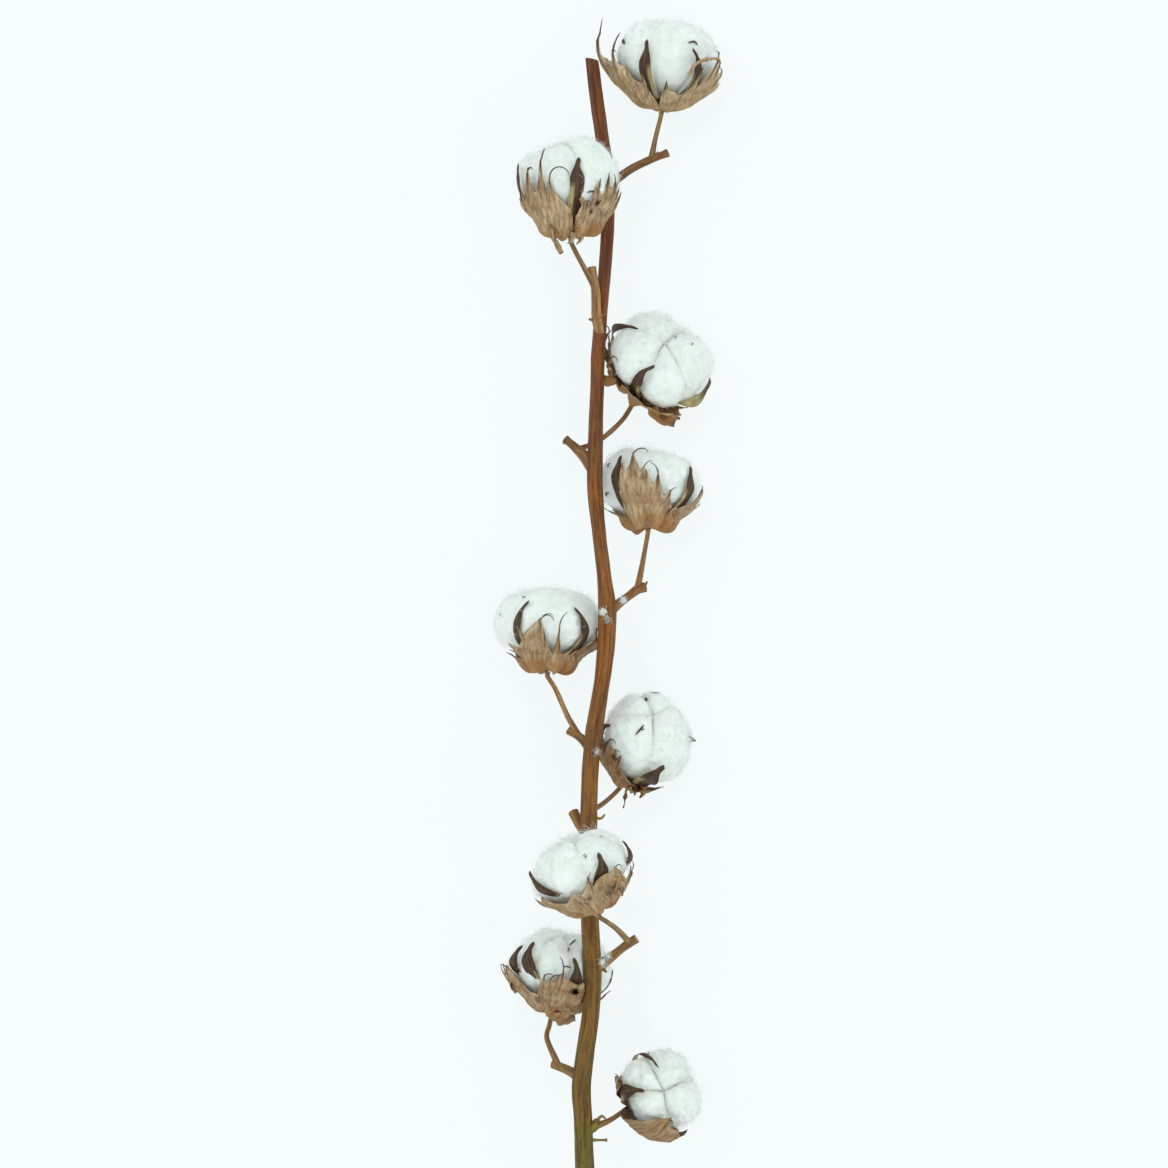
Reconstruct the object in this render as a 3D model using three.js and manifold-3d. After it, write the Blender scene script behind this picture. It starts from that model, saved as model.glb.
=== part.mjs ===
// A cut branch of dried cotton with nine open bolls, lying on its side. Millimetres.
// The branch lies along Y with its tip at +Y, and Z is up from the surface that it lies on.
import * as THREE from "three";
import { mergeVertices } from "three/addons/utils/BufferGeometryUtils.js";
import Module from "manifold-3d";

const wasm = await Module();
wasm.setup();

// Driving dimensions
const middle = new THREE.Vector3(7.4, -16.4, 0); // the point of the surface under the middle of the branch
const clearance = 0.4; // between pieces that touch on the real branch
const bladeThickness = 0.9; // of a bract, along the ray from the middle of its boll
const stemSides = 10;
const twigSides = 7;
const stalkSides = 5;
const endSlant = 0.35; // slope of the cut at both ends of the stem
const stalkRun = 3.5; // length of a boll stalk that runs straight along the boll's axis
const stalkRadius = 1.5;

// The parts of a boll, along its axis from the end of the stalk
const receptacle = { height: 3.4, foot: 1.8, rim: 4.6 };
const burrBase = { start: 3.8, height: 1.8, radius: 6.5 };
const lintStart = 6;

// How far each layer of a boll keeps from the surface below and from the wood
const outerLeaf = { floor: 0, wood: 0.5 };
const innerLeaf = { floor: bladeThickness, wood: 0.5 + bladeThickness };
const valveLayer = { floor: 1.4, wood: 1.9 };
const bareLint = { floor: 0, wood: 0.5 };
const coveredLint = { floor: 2, wood: 2.5 };

// Main stem from the tip to the cut end: x, y, z and radius
const stemRoute = [
  [-5, 336.5, 40, 4],
  [-2, 311.5, 41, 4.3],
  [1.5, 286.5, 42, 4.3],
  [4.5, 261.5, 43, 4.7],
  [5, 239.5, 43.5, 4.2],
  [4, 217.5, 44, 4.1],
  [1.5, 186.5, 45, 3.9],
  [-1, 155.5, 46, 4.3],
  [-2, 124, 47, 4.3],
  [-3, 93, 47.5, 4.8],
  [-3, 68, 48.5, 4.9],
  [-0.5, 40.5, 49, 4.3],
  [2.5, 15.5, 50, 4.5],
  [4.5, -6, 50.5, 5.7],
  [3.5, -31, 51, 5.5],
  [0.5, -55.5, 52, 5],
  [-3.5, -80.5, 52.5, 5.5],
  [-6, -105, 53.5, 5.2],
  [-7, -136, 54.5, 5.3],
  [-7, -173, 55.5, 5.6],
  [-6, -204, 56.5, 5.6],
  [-4.5, -231.5, 57, 5.6],
  [-6, -256.5, 57, 5.4],
  [-9, -278, 57.5, 5.7],
  [-11.5, -299.5, 57.5, 6],
  [-10.5, -321, 57, 5.7],
  [-9.5, -351, 56.5, 6],
  [-8, -394.5, 56, 6.1],
];

// Side twigs from inside the stem to their cut, knobby ends
const twigRoutes = [
  [
    [4.5, 258, 43, 3.6], [12, 263, 41.5, 2.9], [19, 268, 40, 2.5], [31, 274.5, 37, 2.6],
    [39, 277.5, 35.5, 2.5], [42.5, 279, 35, 2.7],
  ],
  [
    [0.5, 164, 46, 3], [-2, 175, 50.5, 3.4], [-2.5, 190, 52.5, 2.7], [-4, 199, 54.5, 2.8],
    [-5, 206, 56, 2.6],
  ],
  [
    [-3, 79, 48, 4.2], [-9, 88.5, 44.5, 3.7], [-15, 94.5, 40, 3], [-19.5, 98.5, 37, 2.7],
    [-21.5, 100, 36, 3.2],
  ],
  [
    [4.5, -8, 50.5, 3.8], [11, -2.5, 48.5, 3], [17.5, 2, 46, 2.5], [23.5, 6.5, 43.5, 2.8],
    [28, 8, 42, 3.1],
  ],
  [[-3.5, -95, 52.5, 3.8], [-9, -88.5, 50, 3], [-13.5, -84.5, 47, 2.6], [-19.5, -81, 44, 2.7]],
  [[-7, -149, 54.5, 3], [-11.5, -142, 50, 2.7], [-16.5, -132, 42.5, 3.3]],
  [
    [-3.5, -229, 57, 3.8], [1.5, -224.5, 57.5, 3.3], [11, -217, 59, 2.6], [17.5, -212, 61, 2.9],
    [22.5, -208.5, 62, 3],
  ],
  [[-10.5, -297, 57.5, 3.6], [-16.5, -292.5, 55.5, 3], [-22, -290, 52, 2.6], [-29, -288, 46.5, 2.8]],
  [[-8, -328, 57, 3], [-3.5, -325, 57, 3.1], [-1.5, -321, 57.5, 1.9]],
];

// Thorns and dry scales on the wood
const spurRoutes = [
  [[35, 275.5, 37, 1.1], [36, 279.5, 38.5, 0.5]],
  [[-1, 172, 50, 1.5], [-7, 174, 52.5, 0.6]],
  [[-1, 174, 51, 1.4], [3.5, 177.5, 54, 0.5]],
  [[26, 6, 42.5, 1.3], [29.5, 11.5, 43.5, 0.5]],
  [[-4, -134.5, 55, 1.2], [0.5, -135, 56, 0.8], [3, -132.5, 56.5, 0.5]],
  [[0, -226, 58, 1.6], [4, -229.5, 60, 0.6]],
  [[-2, -321.5, 57.5, 1.1], [1, -318.5, 59, 0.8], [3.5, -320, 60, 0.5]],
  [[-7, -333.5, 57, 1.4], [0.5, -333.5, 57.5, 0.9], [4.5, -333.5, 57.5, 1.4]],
];

// Bolls from the tip down. base is the end of the stalk, lean the turn to the right of the stem's
// direction, tilt the rise from the surface, and locks the size of each lock beside the others.
// Azimuth 0 is the upper side of a boll and 90 degrees its right side.
// A valve is its azimuth, the angle of its tip from the boll's axis, and how far the tip bends out.
// A bract is its azimuth, length, half its span, how much longer its left side is, and how far its
// edge flares out. The last bract of a boll is the outermost one, and longTooth lengthens a tooth of it.
const bolls = [
  {
    base: [38.5, 305.5, 31.5], lean: 7, tilt: 0, length: 61, width: 67,
    locks: [1, 0.98, 1, 0.96, 0.97],
    valves: [[-94, 68, 1.5], [-22, 79, 2.5], [42, 82, 1], [120, 74, 1], [212, 74, 1]],
    bracts: [[180, 0.6, 48, 0, 1], [62, 0.86, 52, 0, 0], [-70, 0.86, 54, 0, 0]],
    longTooth: 14,
    stalk: [[32, 274.5, 37, 2.1], [34.5, 287.5, 34, 1.6]],
  },
  {
    base: [-18, 223.5, 69], lean: -3, tilt: 0, length: 62, width: 66,
    locks: [0.93, 1, 0.97, 0.98, 0.96],
    valves: [[8, 70, 2], [80, 96, 0], [168, 74, 1], [228, 74, 1], [290, 70, 2.5]],
    bracts: [[180, 0.62, 50, 0, 1], [-50, 0.82, 50, 0, 0], [55, 0.78, 50, 0, -0.5]],
    longTooth: 4,
    stalk: [[-4, 195, 54, 2.1], [-9.5, 204.5, 60, 1.7], [-15, 214, 66.5, 1.5]],
  },
  {
    base: [25.3, 131, 10.7], lean: 33, tilt: 38, length: 55, width: 66,
    locks: [1, 0.97, 0.98, 0.95],
    valves: [[-92, 56, 1], [-5, 61, 1.5], [70, 70, 3], [165, 100, 0]],
    bracts: [[165, 0.6, 50, 0, 1], [-72, 0.68, 44, 0, 0], [30, 0.6, 46, -0.1, 7]],
    longTooth: 3,
    stalk: [
      [-14, 94, 40, 2], [-7, 96.5, 33, 1.7], [2.5, 102, 27.5, 1.6], [14, 113, 17, 1.5],
      [20.8, 123.5, 9, 1.5],
    ],
  },
  {
    base: [30, 44.5, 34.5], lean: 2, tilt: -12, length: 51, width: 64,
    locks: [1, 0.97, 0.99, 0.98],
    valves: [[-38, 56, 1.5], [47, 71, 1.5], [128, 76, 0], [226, 76, 1]],
    bracts: [[-120, 0.56, 50, 0, 0], [76, 0.78, 44, 0, -0.3], [-8, 1.02, 35, 0.16, 0]],
    longTooth: 3,
    stalk: [[23.5, 8, 43, 2.1], [27, 25, 38.5, 1.6]],
  },
  {
    base: [-32.5, -44.5, 35.5], lean: 1, tilt: -8, length: 53, width: 68,
    locks: [1, 0.97, 0.99, 0.98],
    valves: [[-29, 64, 1.5], [35, 73, 1.5], [128, 76, 0], [226, 76, 1]],
    bracts: [[-130, 0.58, 50, 0, 0], [80, 0.7, 46, 0, 0], [-14, 0.84, 46, 0.1, 0]],
    longTooth: 4,
    stalk: [[-13.5, -84, 46.5, 2.1], [-20.5, -71.5, 42.5, 1.6], [-27.5, -56, 38.5, 1.5]],
  },
  {
    base: [17, -113, 12.5], lean: 28, tilt: 29, length: 61, width: 59,
    locks: [0.97, 1, 0.98, 0.96],
    valves: [[-150, 61, 2.5], [-74, 83, 1.5], [30, 78, 1.5], [112, 72, 1.5]],
    bracts: [[150, 0.5, 48, 0, 2], [35, 0.42, 40, 0.1, 4], [-68, 0.84, 46, 0, 0]],
    longTooth: 3,
    stalk: [
      [-14, -136.5, 45, 2], [-8, -133, 37, 1.7], [0, -129, 29, 1.6], [7, -124, 20, 1.5],
      [12.5, -119, 12.5, 1.5],
    ],
  },
  {
    base: [-1.5, -189.5, 89], lean: -21, tilt: 5, length: 54, width: 63,
    locks: [1, 0.97, 0.96, 0.98, 0.98],
    valves: [[-60, 75, 3], [32, 77, 1.5], [90, 77, 1.5], [148, 76, 0], [226, 76, 0]],
    bracts: [[175, 0.5, 46, 0, 0], [-54, 0.7, 50, 0, 0], [36, 0.68, 46, 0, 0]],
    longTooth: 2,
    stalk: [[18, -211, 61.5, 2.1], [11, -202.5, 71, 1.7], [4.5, -196.5, 82, 1.5]],
  },
  {
    base: [-30, -258, 31.5], lean: 10, tilt: 0, length: 53, width: 66,
    locks: [0.96, 0.96, 0.98, 0.98, 0.95],
    valves: [[20, 76, 1.5], [92, 84, 0], [166, 68, 1], [243, 68, 4], [316, 65, 1.5]],
    bracts: [[138, 0.78, 50, 0, 2], [-74, 0.72, 48, 0, -0.5], [4, 0.84, 48, 0, 0]],
    longTooth: 3,
    stalk: [[-26.5, -287.5, 47.5, 2.1], [-33, -273.5, 39, 1.7], [-31.5, -266, 33.5, 1.5]],
  },
  {
    base: [22.9, -315.1, 28.4], lean: 55, tilt: 50, length: 51, width: 56,
    locks: [0.98, 1, 0.97, 0.96],
    valves: [[-98, 66, 1], [-36, 70, 2], [80, 76, 3], [168, 100, 0]],
    bracts: [[170, 0.6, 48, 0, 0], [-78, 0.52, 34, 0, 0], [32, 1, 54, 0, -0.5]],
    longTooth: 2,
    stalk: [[-3, -325, 57, 2.4], [5.5, -322.5, 52, 1.8], [12, -320, 42, 1.6], [16.8, -318.3, 30.5, 1.5]],
  },
];

const radians = THREE.MathUtils.degToRad;
const ease = THREE.MathUtils.smoothstep;

// A number from 0 to 1 that looks random and depends only on a and b.
function vary(a, b) {
  const wave = Math.sin(a * 12.9898 + b * 78.233) * 43758.5453;
  return wave - Math.floor(wave);
}

function toSolid(geometry) {
  const bare = new THREE.BufferGeometry();
  bare.setAttribute("position", geometry.getAttribute("position"));
  bare.setIndex(geometry.index);
  const merged = mergeVertices(bare, 1e-4);
  return new wasm.Manifold(
    new wasm.Mesh({
      numProp: 3,
      vertProperties: new Float32Array(merged.attributes.position.array),
      triVerts: new Uint32Array(merged.index.array),
    }),
  );
}

function toGeometry(solid) {
  const mesh = solid.getMesh();
  const geometry = new THREE.BufferGeometry();
  geometry.setAttribute("position", new THREE.BufferAttribute(mesh.vertProperties, 3));
  geometry.setIndex(new THREE.BufferAttribute(mesh.triVerts, 1));
  geometry.computeVertexNormals();
  return geometry;
}

// Points and triangles as a solid, turned so that its faces point out.
function solidOf(points, triangles) {
  const volume = triangles.reduce((sum, [a, b, c]) => {
    const side = new THREE.Vector3().crossVectors(points[b], points[c]);
    return sum + points[a].dot(side);
  }, 0);
  const faces = volume < 0 ? triangles.map(([a, b, c]) => [a, c, b]) : triangles;
  const geometry = new THREE.BufferGeometry().setFromPoints(points);
  geometry.setIndex(faces.flat());
  return toSolid(geometry);
}

// A skin over rings of points, all with the same number of points, closed by a fan at each end.
function skin(rings) {
  const count = rings[0].length;
  const points = rings.flat();
  const triangles = [];
  for (let i = 0; i + 1 < rings.length; i++) {
    for (let j = 0; j < count; j++) {
      const next = (j + 1) % count;
      const [a, b] = [i * count + j, i * count + next];
      triangles.push([a, b, b + count], [a, b + count, a + count]);
    }
  }
  for (const ring of [rings[0], rings.at(-1)]) {
    const start = ring === rings[0] ? 0 : points.length - count - 1;
    const centre = ring.reduce((sum, p) => sum.add(p), new THREE.Vector3()).divideScalar(count);
    points.push(centre);
    for (let j = 0; j < count; j++) {
      const [a, b] = [start + j, start + ((j + 1) % count)];
      triangles.push(start === 0 ? [points.length - 1, b, a] : [points.length - 1, a, b]);
    }
  }
  return solidOf(points, triangles);
}

// A tapering tube along a route of [x, y, z, radius], with flat or slanted ends.
function tube(route, sides, slant = 0) {
  const centres = route.map(([x, y, z]) => new THREE.Vector3(x, y, z));
  const curve = new THREE.CatmullRomCurve3(centres);
  const across = new THREE.Vector3(0.2, 0.1, 1);
  const last = route.length - 1;
  const rings = centres.map((centre, i) => {
    const along = curve.getTangent(i / last);
    across.addScaledVector(along, -across.dot(along)).normalize();
    const side = new THREE.Vector3().crossVectors(along, across);
    const slope = i === 0 || i === last ? slant : 0;
    return Array.from({ length: sides }, (_, j) => {
      const turn = (j / sides) * 2 * Math.PI;
      const radius = route[i][3];
      return centre
        .clone()
        .addScaledVector(across, radius * Math.cos(turn))
        .addScaledVector(side, radius * Math.sin(turn))
        .addScaledVector(along, slope * radius * Math.sin(turn));
    });
  });
  return skin(rings);
}

function grownRoute(route, growth) {
  return route.map(([x, y, z, radius]) => [x, y, z, radius + growth]);
}

// The boll's own directions: along its axis, up from the surface, and to its right.
for (const boll of bolls) {
  const [lean, tilt] = [radians(boll.lean), radians(boll.tilt)];
  boll.axis = new THREE.Vector3(
    Math.sin(lean) * Math.cos(tilt),
    Math.cos(lean) * Math.cos(tilt),
    Math.sin(tilt),
  );
  boll.front = new THREE.Vector3(0, 0, 1).addScaledVector(boll.axis, -boll.axis.z).normalize();
  boll.right = new THREE.Vector3().crossVectors(boll.axis, boll.front);
  boll.half = (boll.length - lintStart) / 2;
  boll.foot = new THREE.Vector3(...boll.base);
  boll.heart = boll.foot.clone().addScaledVector(boll.axis, lintStart + boll.half);
  const end = (distance, radius) => [
    ...boll.foot.clone().addScaledVector(boll.axis, -distance).toArray(),
    radius,
  ];
  boll.stalkRoute = [...boll.stalk, end(stalkRun, stalkRadius), end(clearance, stalkRadius + 0.2)];
}

const stalkRoutes = bolls.map((boll) => boll.stalkRoute);
const woodRoutes = [stemRoute, ...twigRoutes, ...stalkRoutes];

function woodSolid(growth) {
  const grown = (routes) => routes.map((route) => grownRoute(route, growth));
  const pieces = [
    tube(grownRoute(stemRoute, growth), stemSides, endSlant),
    ...grown(twigRoutes).map((route) => tube(route, twigSides)),
    ...grown(stalkRoutes).map((route) => tube(route, stalkSides)),
    ...grown(spurRoutes).map((route) => tube(route, stalkSides)),
  ];
  return wasm.Manifold.union(pieces);
}

// The straight stretches of the wood near a boll, without the end of the boll's own stalk.
function woodNear(boll) {
  const stretches = [];
  for (const route of woodRoutes) {
    const ends = route === boll.stalkRoute ? route.length - 3 : route.length - 1;
    for (let i = 0; i < ends; i++) {
      const [from, to] = [route[i], route[i + 1]];
      const line = new THREE.Line3(new THREE.Vector3(...from), new THREE.Vector3(...to));
      const near = line.closestPointToPoint(boll.heart, true, new THREE.Vector3());
      if (near.distanceTo(boll.heart) < 1.6 * boll.width) {
        stretches.push({ line, radius: Math.max(from[3], to[3]) });
      }
    }
  }
  return stretches;
}

// The point at the wanted distance from the heart of a boll, drawn back towards the heart until it
// is clear of the surface below and of the wood.
function settle(boll, direction, wanted, layer) {
  const touch = new THREE.Vector3();
  const free = (point) =>
    point.z >= layer.floor - 1e-6 &&
    boll.wood.every(({ line, radius }) => {
      line.closestPointToPoint(point, true, touch);
      return touch.distanceTo(point) >= radius + layer.wood;
    });
  let distance = wanted;
  if (direction.z < 0) {
    distance = Math.min(distance, (boll.heart.z - layer.floor) / -direction.z);
  }
  const point = boll.heart.clone().addScaledVector(direction, distance);
  while (!free(point) && distance > wanted / 3) {
    distance -= 0.2;
    point.copy(boll.heart).addScaledVector(direction, distance);
  }
  return point;
}

// The direction at an angle from the tip of the boll's axis and at an azimuth round it.
function ray(boll, polar, azimuth) {
  return new THREE.Vector3()
    .addScaledVector(boll.front, Math.sin(polar) * Math.cos(azimuth))
    .addScaledVector(boll.right, Math.sin(polar) * Math.sin(azimuth))
    .addScaledVector(boll.axis, Math.cos(polar));
}

// Distance from the heart to the spheroid that the locks fill.
function spheroid(boll, polar) {
  const [radius, half] = [boll.width / 2, boll.half];
  return (radius * half) / Math.hypot(half * Math.sin(polar), radius * Math.cos(polar));
}

// Depth of the grooves between locks, as a share of the spheroid: shallow at the base.
function grooveDepth(polar) {
  const degrees = THREE.MathUtils.radToDeg(polar);
  return 0.04 + 0.18 * (1 - ease(degrees, 132, 172)) + 0.06 * (1 - ease(degrees, 40, 80));
}

const lintRings = [14, 32, 54, 82, 98, 120, 142, 160, 172];
const lockSteps = [0, 0.1, 0.28, 0.5, 0.72, 0.9];

// Lint: bulging locks side by side, with grooves between them and a hollow where they meet.
function lintSolid(boll) {
  const columns = boll.valves.flatMap(([start], i) => {
    const end = i + 1 < boll.valves.length ? boll.valves[i + 1][0] : boll.valves[0][0] + 360;
    return lockSteps.map((step) => ({
      azimuth: radians(start + (end - start) * step),
      bulge: Math.sin(Math.PI * step) ** 0.55,
      size: step === 0 ? 1 : boll.locks[i],
    }));
  });
  const rings = lintRings.map((degrees) => {
    const polar = radians(degrees);
    const hollow = 1 - 0.2 * (1 - ease(degrees, 4, 40));
    const layer = degrees > 108 ? coveredLint : bareLint;
    return columns.map(({ azimuth, bulge, size }) => {
      const fill = size * hollow * (1 - grooveDepth(polar) * (1 - bulge));
      return settle(boll, ray(boll, polar, azimuth), spheroid(boll, polar) * fill, layer);
    });
  });
  return skin(rings);
}

// Valve sections from its root to its tip: angle from the tip of the boll, and half width
const valveSections = [[172, 2], [160, 2.5], [142, 3.3], [120, 4], [98, 3.6], [82, 2.3]];
const valveSeat = 0.93; // where a valve's edges lie above its root, as a share of the spheroid

// Valve: a keeled leaf that stands in a groove between two locks, with a bent, pointed tip.
function valveSolid(boll, [azimuthDegrees, tipDegrees, bend], growth) {
  const azimuth = radians(azimuthDegrees);
  const sideways = new THREE.Vector3()
    .addScaledVector(boll.front, -Math.sin(azimuth))
    .addScaledVector(boll.right, Math.cos(azimuth));
  const sections = valveSections.filter(([degrees]) => degrees > tipDegrees + 6);
  const rings = sections.map(([degrees, halfWidth]) => {
    const polar = radians(degrees);
    const [reach, direction] = [spheroid(boll, polar), ray(boll, polar, azimuth)];
    const keel = reach * (1 - 0.9 * grooveDepth(polar)) + 0.5 - growth;
    const root = ease(degrees, 108, 158);
    const seat = reach * (valveSeat + (1 - valveSeat) * root) + root;
    const edge = settle(boll, direction, seat, valveLayer);
    const left = edge.clone().addScaledVector(sideways, -halfWidth - growth);
    const right = edge.clone().addScaledVector(sideways, halfWidth + growth);
    const outer = settle(boll, direction, seat + 0.8 + growth, valveLayer);
    const inner = settle(boll, direction, Math.min(keel, seat - 0.6), valveLayer);
    return [left, outer, right, inner];
  });
  const polar = radians(tipDegrees);
  const tip = settle(boll, ray(boll, polar, azimuth), spheroid(boll, polar) + bend, valveLayer);
  const last = rings.at(-1);
  const tipRing = last.map((p) => p.clone().sub(last[1]).multiplyScalar(0.12).add(tip));
  return skin([...rings, tipRing]);
}

// A disc turned about the boll's axis, from a profile of [radius, distance along the axis].
function turnedSolid(boll, profile) {
  const geometry = new THREE.LatheGeometry(profile.map(([r, d]) => new THREE.Vector2(r, d)), 9);
  const pose = new THREE.Matrix4().makeBasis(boll.front, boll.axis, boll.right.clone().negate());
  geometry.applyMatrix4(pose.setPosition(boll.foot));
  geometry.computeVertexNormals();
  return toSolid(geometry);
}

function burrSolid(boll, growth) {
  const { start, height, radius } = burrBase;
  const profile = [
    [0, start - growth],
    [radius * 0.6, start - growth],
    [radius + growth, start + height / 2],
    [radius * 0.6, start + height + growth],
    [0, start + height + growth],
  ];
  const valves = boll.valves.map((valve) => valveSolid(boll, valve, growth));
  return wasm.Manifold.union([turnedSolid(boll, profile), ...valves]);
}

const bractRows = [0, 0.3, 0.66, 1]; // shares of the way from a bract's root to its edge
const bractTeeth = 4;

// Bract: a leaf wrapped round the boll from below, bagged out at its foot, with a toothed edge.
function bractSolid(boll, index, growth) {
  const [azimuthDegrees, length, span, slant, flare] = boll.bracts[index];
  const outermost = index === boll.bracts.length - 1;
  const columns = 2 * bractTeeth;
  const [outer, inner] = [[], []];
  for (let j = 0; j <= columns; j++) {
    const u = (2 * j) / columns - 1;
    const tooth = j % 2 === 1;
    const random = vary(azimuthDegrees + j, boll.length);
    const long = outermost && j === 3 ? boll.longTooth : 0;
    const azimuth = radians(azimuthDegrees + u * span + growth * u);
    const share = (tooth ? 1 : 0.74) + 0.08 * random;
    const reach = 102 * length * (1 - 0.34 * u * u) * (1 - slant * u) * share;
    const curl = flare + (tooth ? 1.4 * random - 0.3 : 0) + 0.8 * long;
    for (const row of bractRows) {
      const degrees = 176 - (reach + long - 4) * row;
      const polar = radians(degrees);
      const foot = ease(degrees, 150, 170);
      const bag = Math.exp(-(((degrees - 150) / 17) ** 2)) * (0.4 + 0.6 * Math.sin(Math.PI * u) ** 2);
      const wave = 0.6 * Math.sin(2.5 * Math.PI * u + azimuthDegrees) * row;
      const offset = 1.5 + 1.1 * index + (3.3 - 1.1 * index) * foot + 3.8 * bag + wave + curl * row ** 3;
      const wanted = spheroid(boll, polar) + offset;
      const direction = ray(boll, polar, azimuth);
      const outward = row === 0 ? 0 : growth;
      outer.push(settle(boll, direction, wanted + bladeThickness + outward, outerLeaf));
      inner.push(settle(boll, direction, wanted - outward, innerLeaf));
    }
  }
  return bladeSolid(outer, inner, columns, bractRows.length - 1);
}

// A thin blade between two grids of points with the same triangles on both faces.
function bladeSolid(outer, inner, columns, rows) {
  const shift = outer.length;
  const at = (j, i) => j * (rows + 1) + i;
  const triangles = [];
  const quad = (a, b, c, d) => triangles.push([a, b, c], [a, c, d]);
  for (let j = 0; j < columns; j++) {
    for (let i = 0; i < rows; i++) {
      const [a, b, c, d] = [at(j, i), at(j + 1, i), at(j + 1, i + 1), at(j, i + 1)];
      quad(a, b, c, d);
      triangles.push([a + shift, c + shift, b + shift], [a + shift, d + shift, c + shift]);
    }
  }
  const rim = (a, b) => quad(b, a, a + shift, b + shift);
  for (let j = 0; j < columns; j++) {
    rim(at(j, 0), at(j + 1, 0));
    rim(at(j + 1, rows), at(j, rows));
  }
  for (let i = 0; i < rows; i++) {
    rim(at(0, i + 1), at(0, i));
    rim(at(columns, i), at(columns, i + 1));
  }
  return solidOf([...outer, ...inner], triangles);
}

function bractsSolid(boll, growth) {
  const { height, foot, rim } = receptacle;
  const profile = [
    [0, 0],
    [foot, 0],
    [rim, height * 0.55],
    [rim * 0.8, height],
    [0, height],
  ];
  const leaves = boll.bracts.map((_, index) => bractSolid(boll, index, growth));
  return wasm.Manifold.union([turnedSolid(boll, profile), ...leaves]);
}

// What is left of a solid after its neighbours' room is taken from it, without loose scraps.
function cutClear(solid, rooms) {
  const touching = rooms.filter((room) => solid.intersect(room).volume() > 0);
  if (touching.length === 0) return solid;
  const parts = wasm.Manifold.difference([solid, ...touching]).decompose();
  return parts.reduce((best, part) => (part.volume() > best.volume() ? part : best));
}

const barkMaterial = new THREE.MeshStandardMaterial({ color: "#7a4e2d", roughness: 0.65 });
const lintMaterial = new THREE.MeshStandardMaterial({ color: "#f4f6f2", roughness: 1 });
const burrMaterial = new THREE.MeshStandardMaterial({ color: "#4a2c1b", roughness: 0.7 });
const bractMaterial = new THREE.MeshStandardMaterial({ color: "#a98763", roughness: 0.85 });

const laid = new THREE.Group();
laid.position.copy(middle).negate();

function addNode(name, solid, material) {
  const mesh = new THREE.Mesh(toGeometry(solid), material);
  mesh.name = name;
  laid.add(mesh);
}

addNode("woody_stem", woodSolid(0), barkMaterial);
const woodRoom = woodSolid(clearance);

bolls.forEach((boll, i) => {
  boll.wood = woodNear(boll);
  const burr = cutClear(burrSolid(boll, 0), [woodRoom]);
  const burrRoom = burrSolid(boll, clearance);
  const bracts = cutClear(bractsSolid(boll, 0), [woodRoom, burrRoom]);
  const bractsRoom = bractsSolid(boll, clearance);
  const lint = cutClear(lintSolid(boll), [woodRoom, burrRoom, bractsRoom]);
  addNode(`boll_${i + 1}_lint`, lint, lintMaterial);
  addNode(`boll_${i + 1}_burr`, burr, burrMaterial);
  addNode(`boll_${i + 1}_bracts`, bracts, bractMaterial);
});

const branch = new THREE.Group();
branch.add(laid);

export default branch;
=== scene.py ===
# A cut branch of dried cotton with nine open bolls, laid flat on a pale studio floor.
# Lengths in the dictionaries are millimetres, but the depth of bumps and the studio's lengths are metres.
# Angles are degrees. The tip of the branch points to +Y.
import bpy
import numpy as np
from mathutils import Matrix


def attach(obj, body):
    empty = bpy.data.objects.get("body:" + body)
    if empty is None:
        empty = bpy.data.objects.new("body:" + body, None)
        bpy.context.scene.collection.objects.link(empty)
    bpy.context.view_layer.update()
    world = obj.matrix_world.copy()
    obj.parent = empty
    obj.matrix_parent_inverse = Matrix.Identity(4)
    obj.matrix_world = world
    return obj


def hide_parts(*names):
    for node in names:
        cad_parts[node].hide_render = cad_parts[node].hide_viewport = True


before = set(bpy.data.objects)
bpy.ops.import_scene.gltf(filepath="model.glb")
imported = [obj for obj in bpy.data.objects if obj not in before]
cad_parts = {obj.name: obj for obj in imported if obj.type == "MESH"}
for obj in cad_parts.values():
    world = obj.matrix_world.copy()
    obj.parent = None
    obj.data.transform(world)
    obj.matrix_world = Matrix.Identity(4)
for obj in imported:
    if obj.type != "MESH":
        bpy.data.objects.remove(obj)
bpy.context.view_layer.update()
print("frame loaded")

branch = {
    "middle": (7.4, -16.4, 0.0),  # the point of the floor under the middle of the branch
    "lintStart": 6.0,  # along a boll's axis from the end of its stalk
    "metre": .001,  # metres in a millimetre
}

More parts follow.
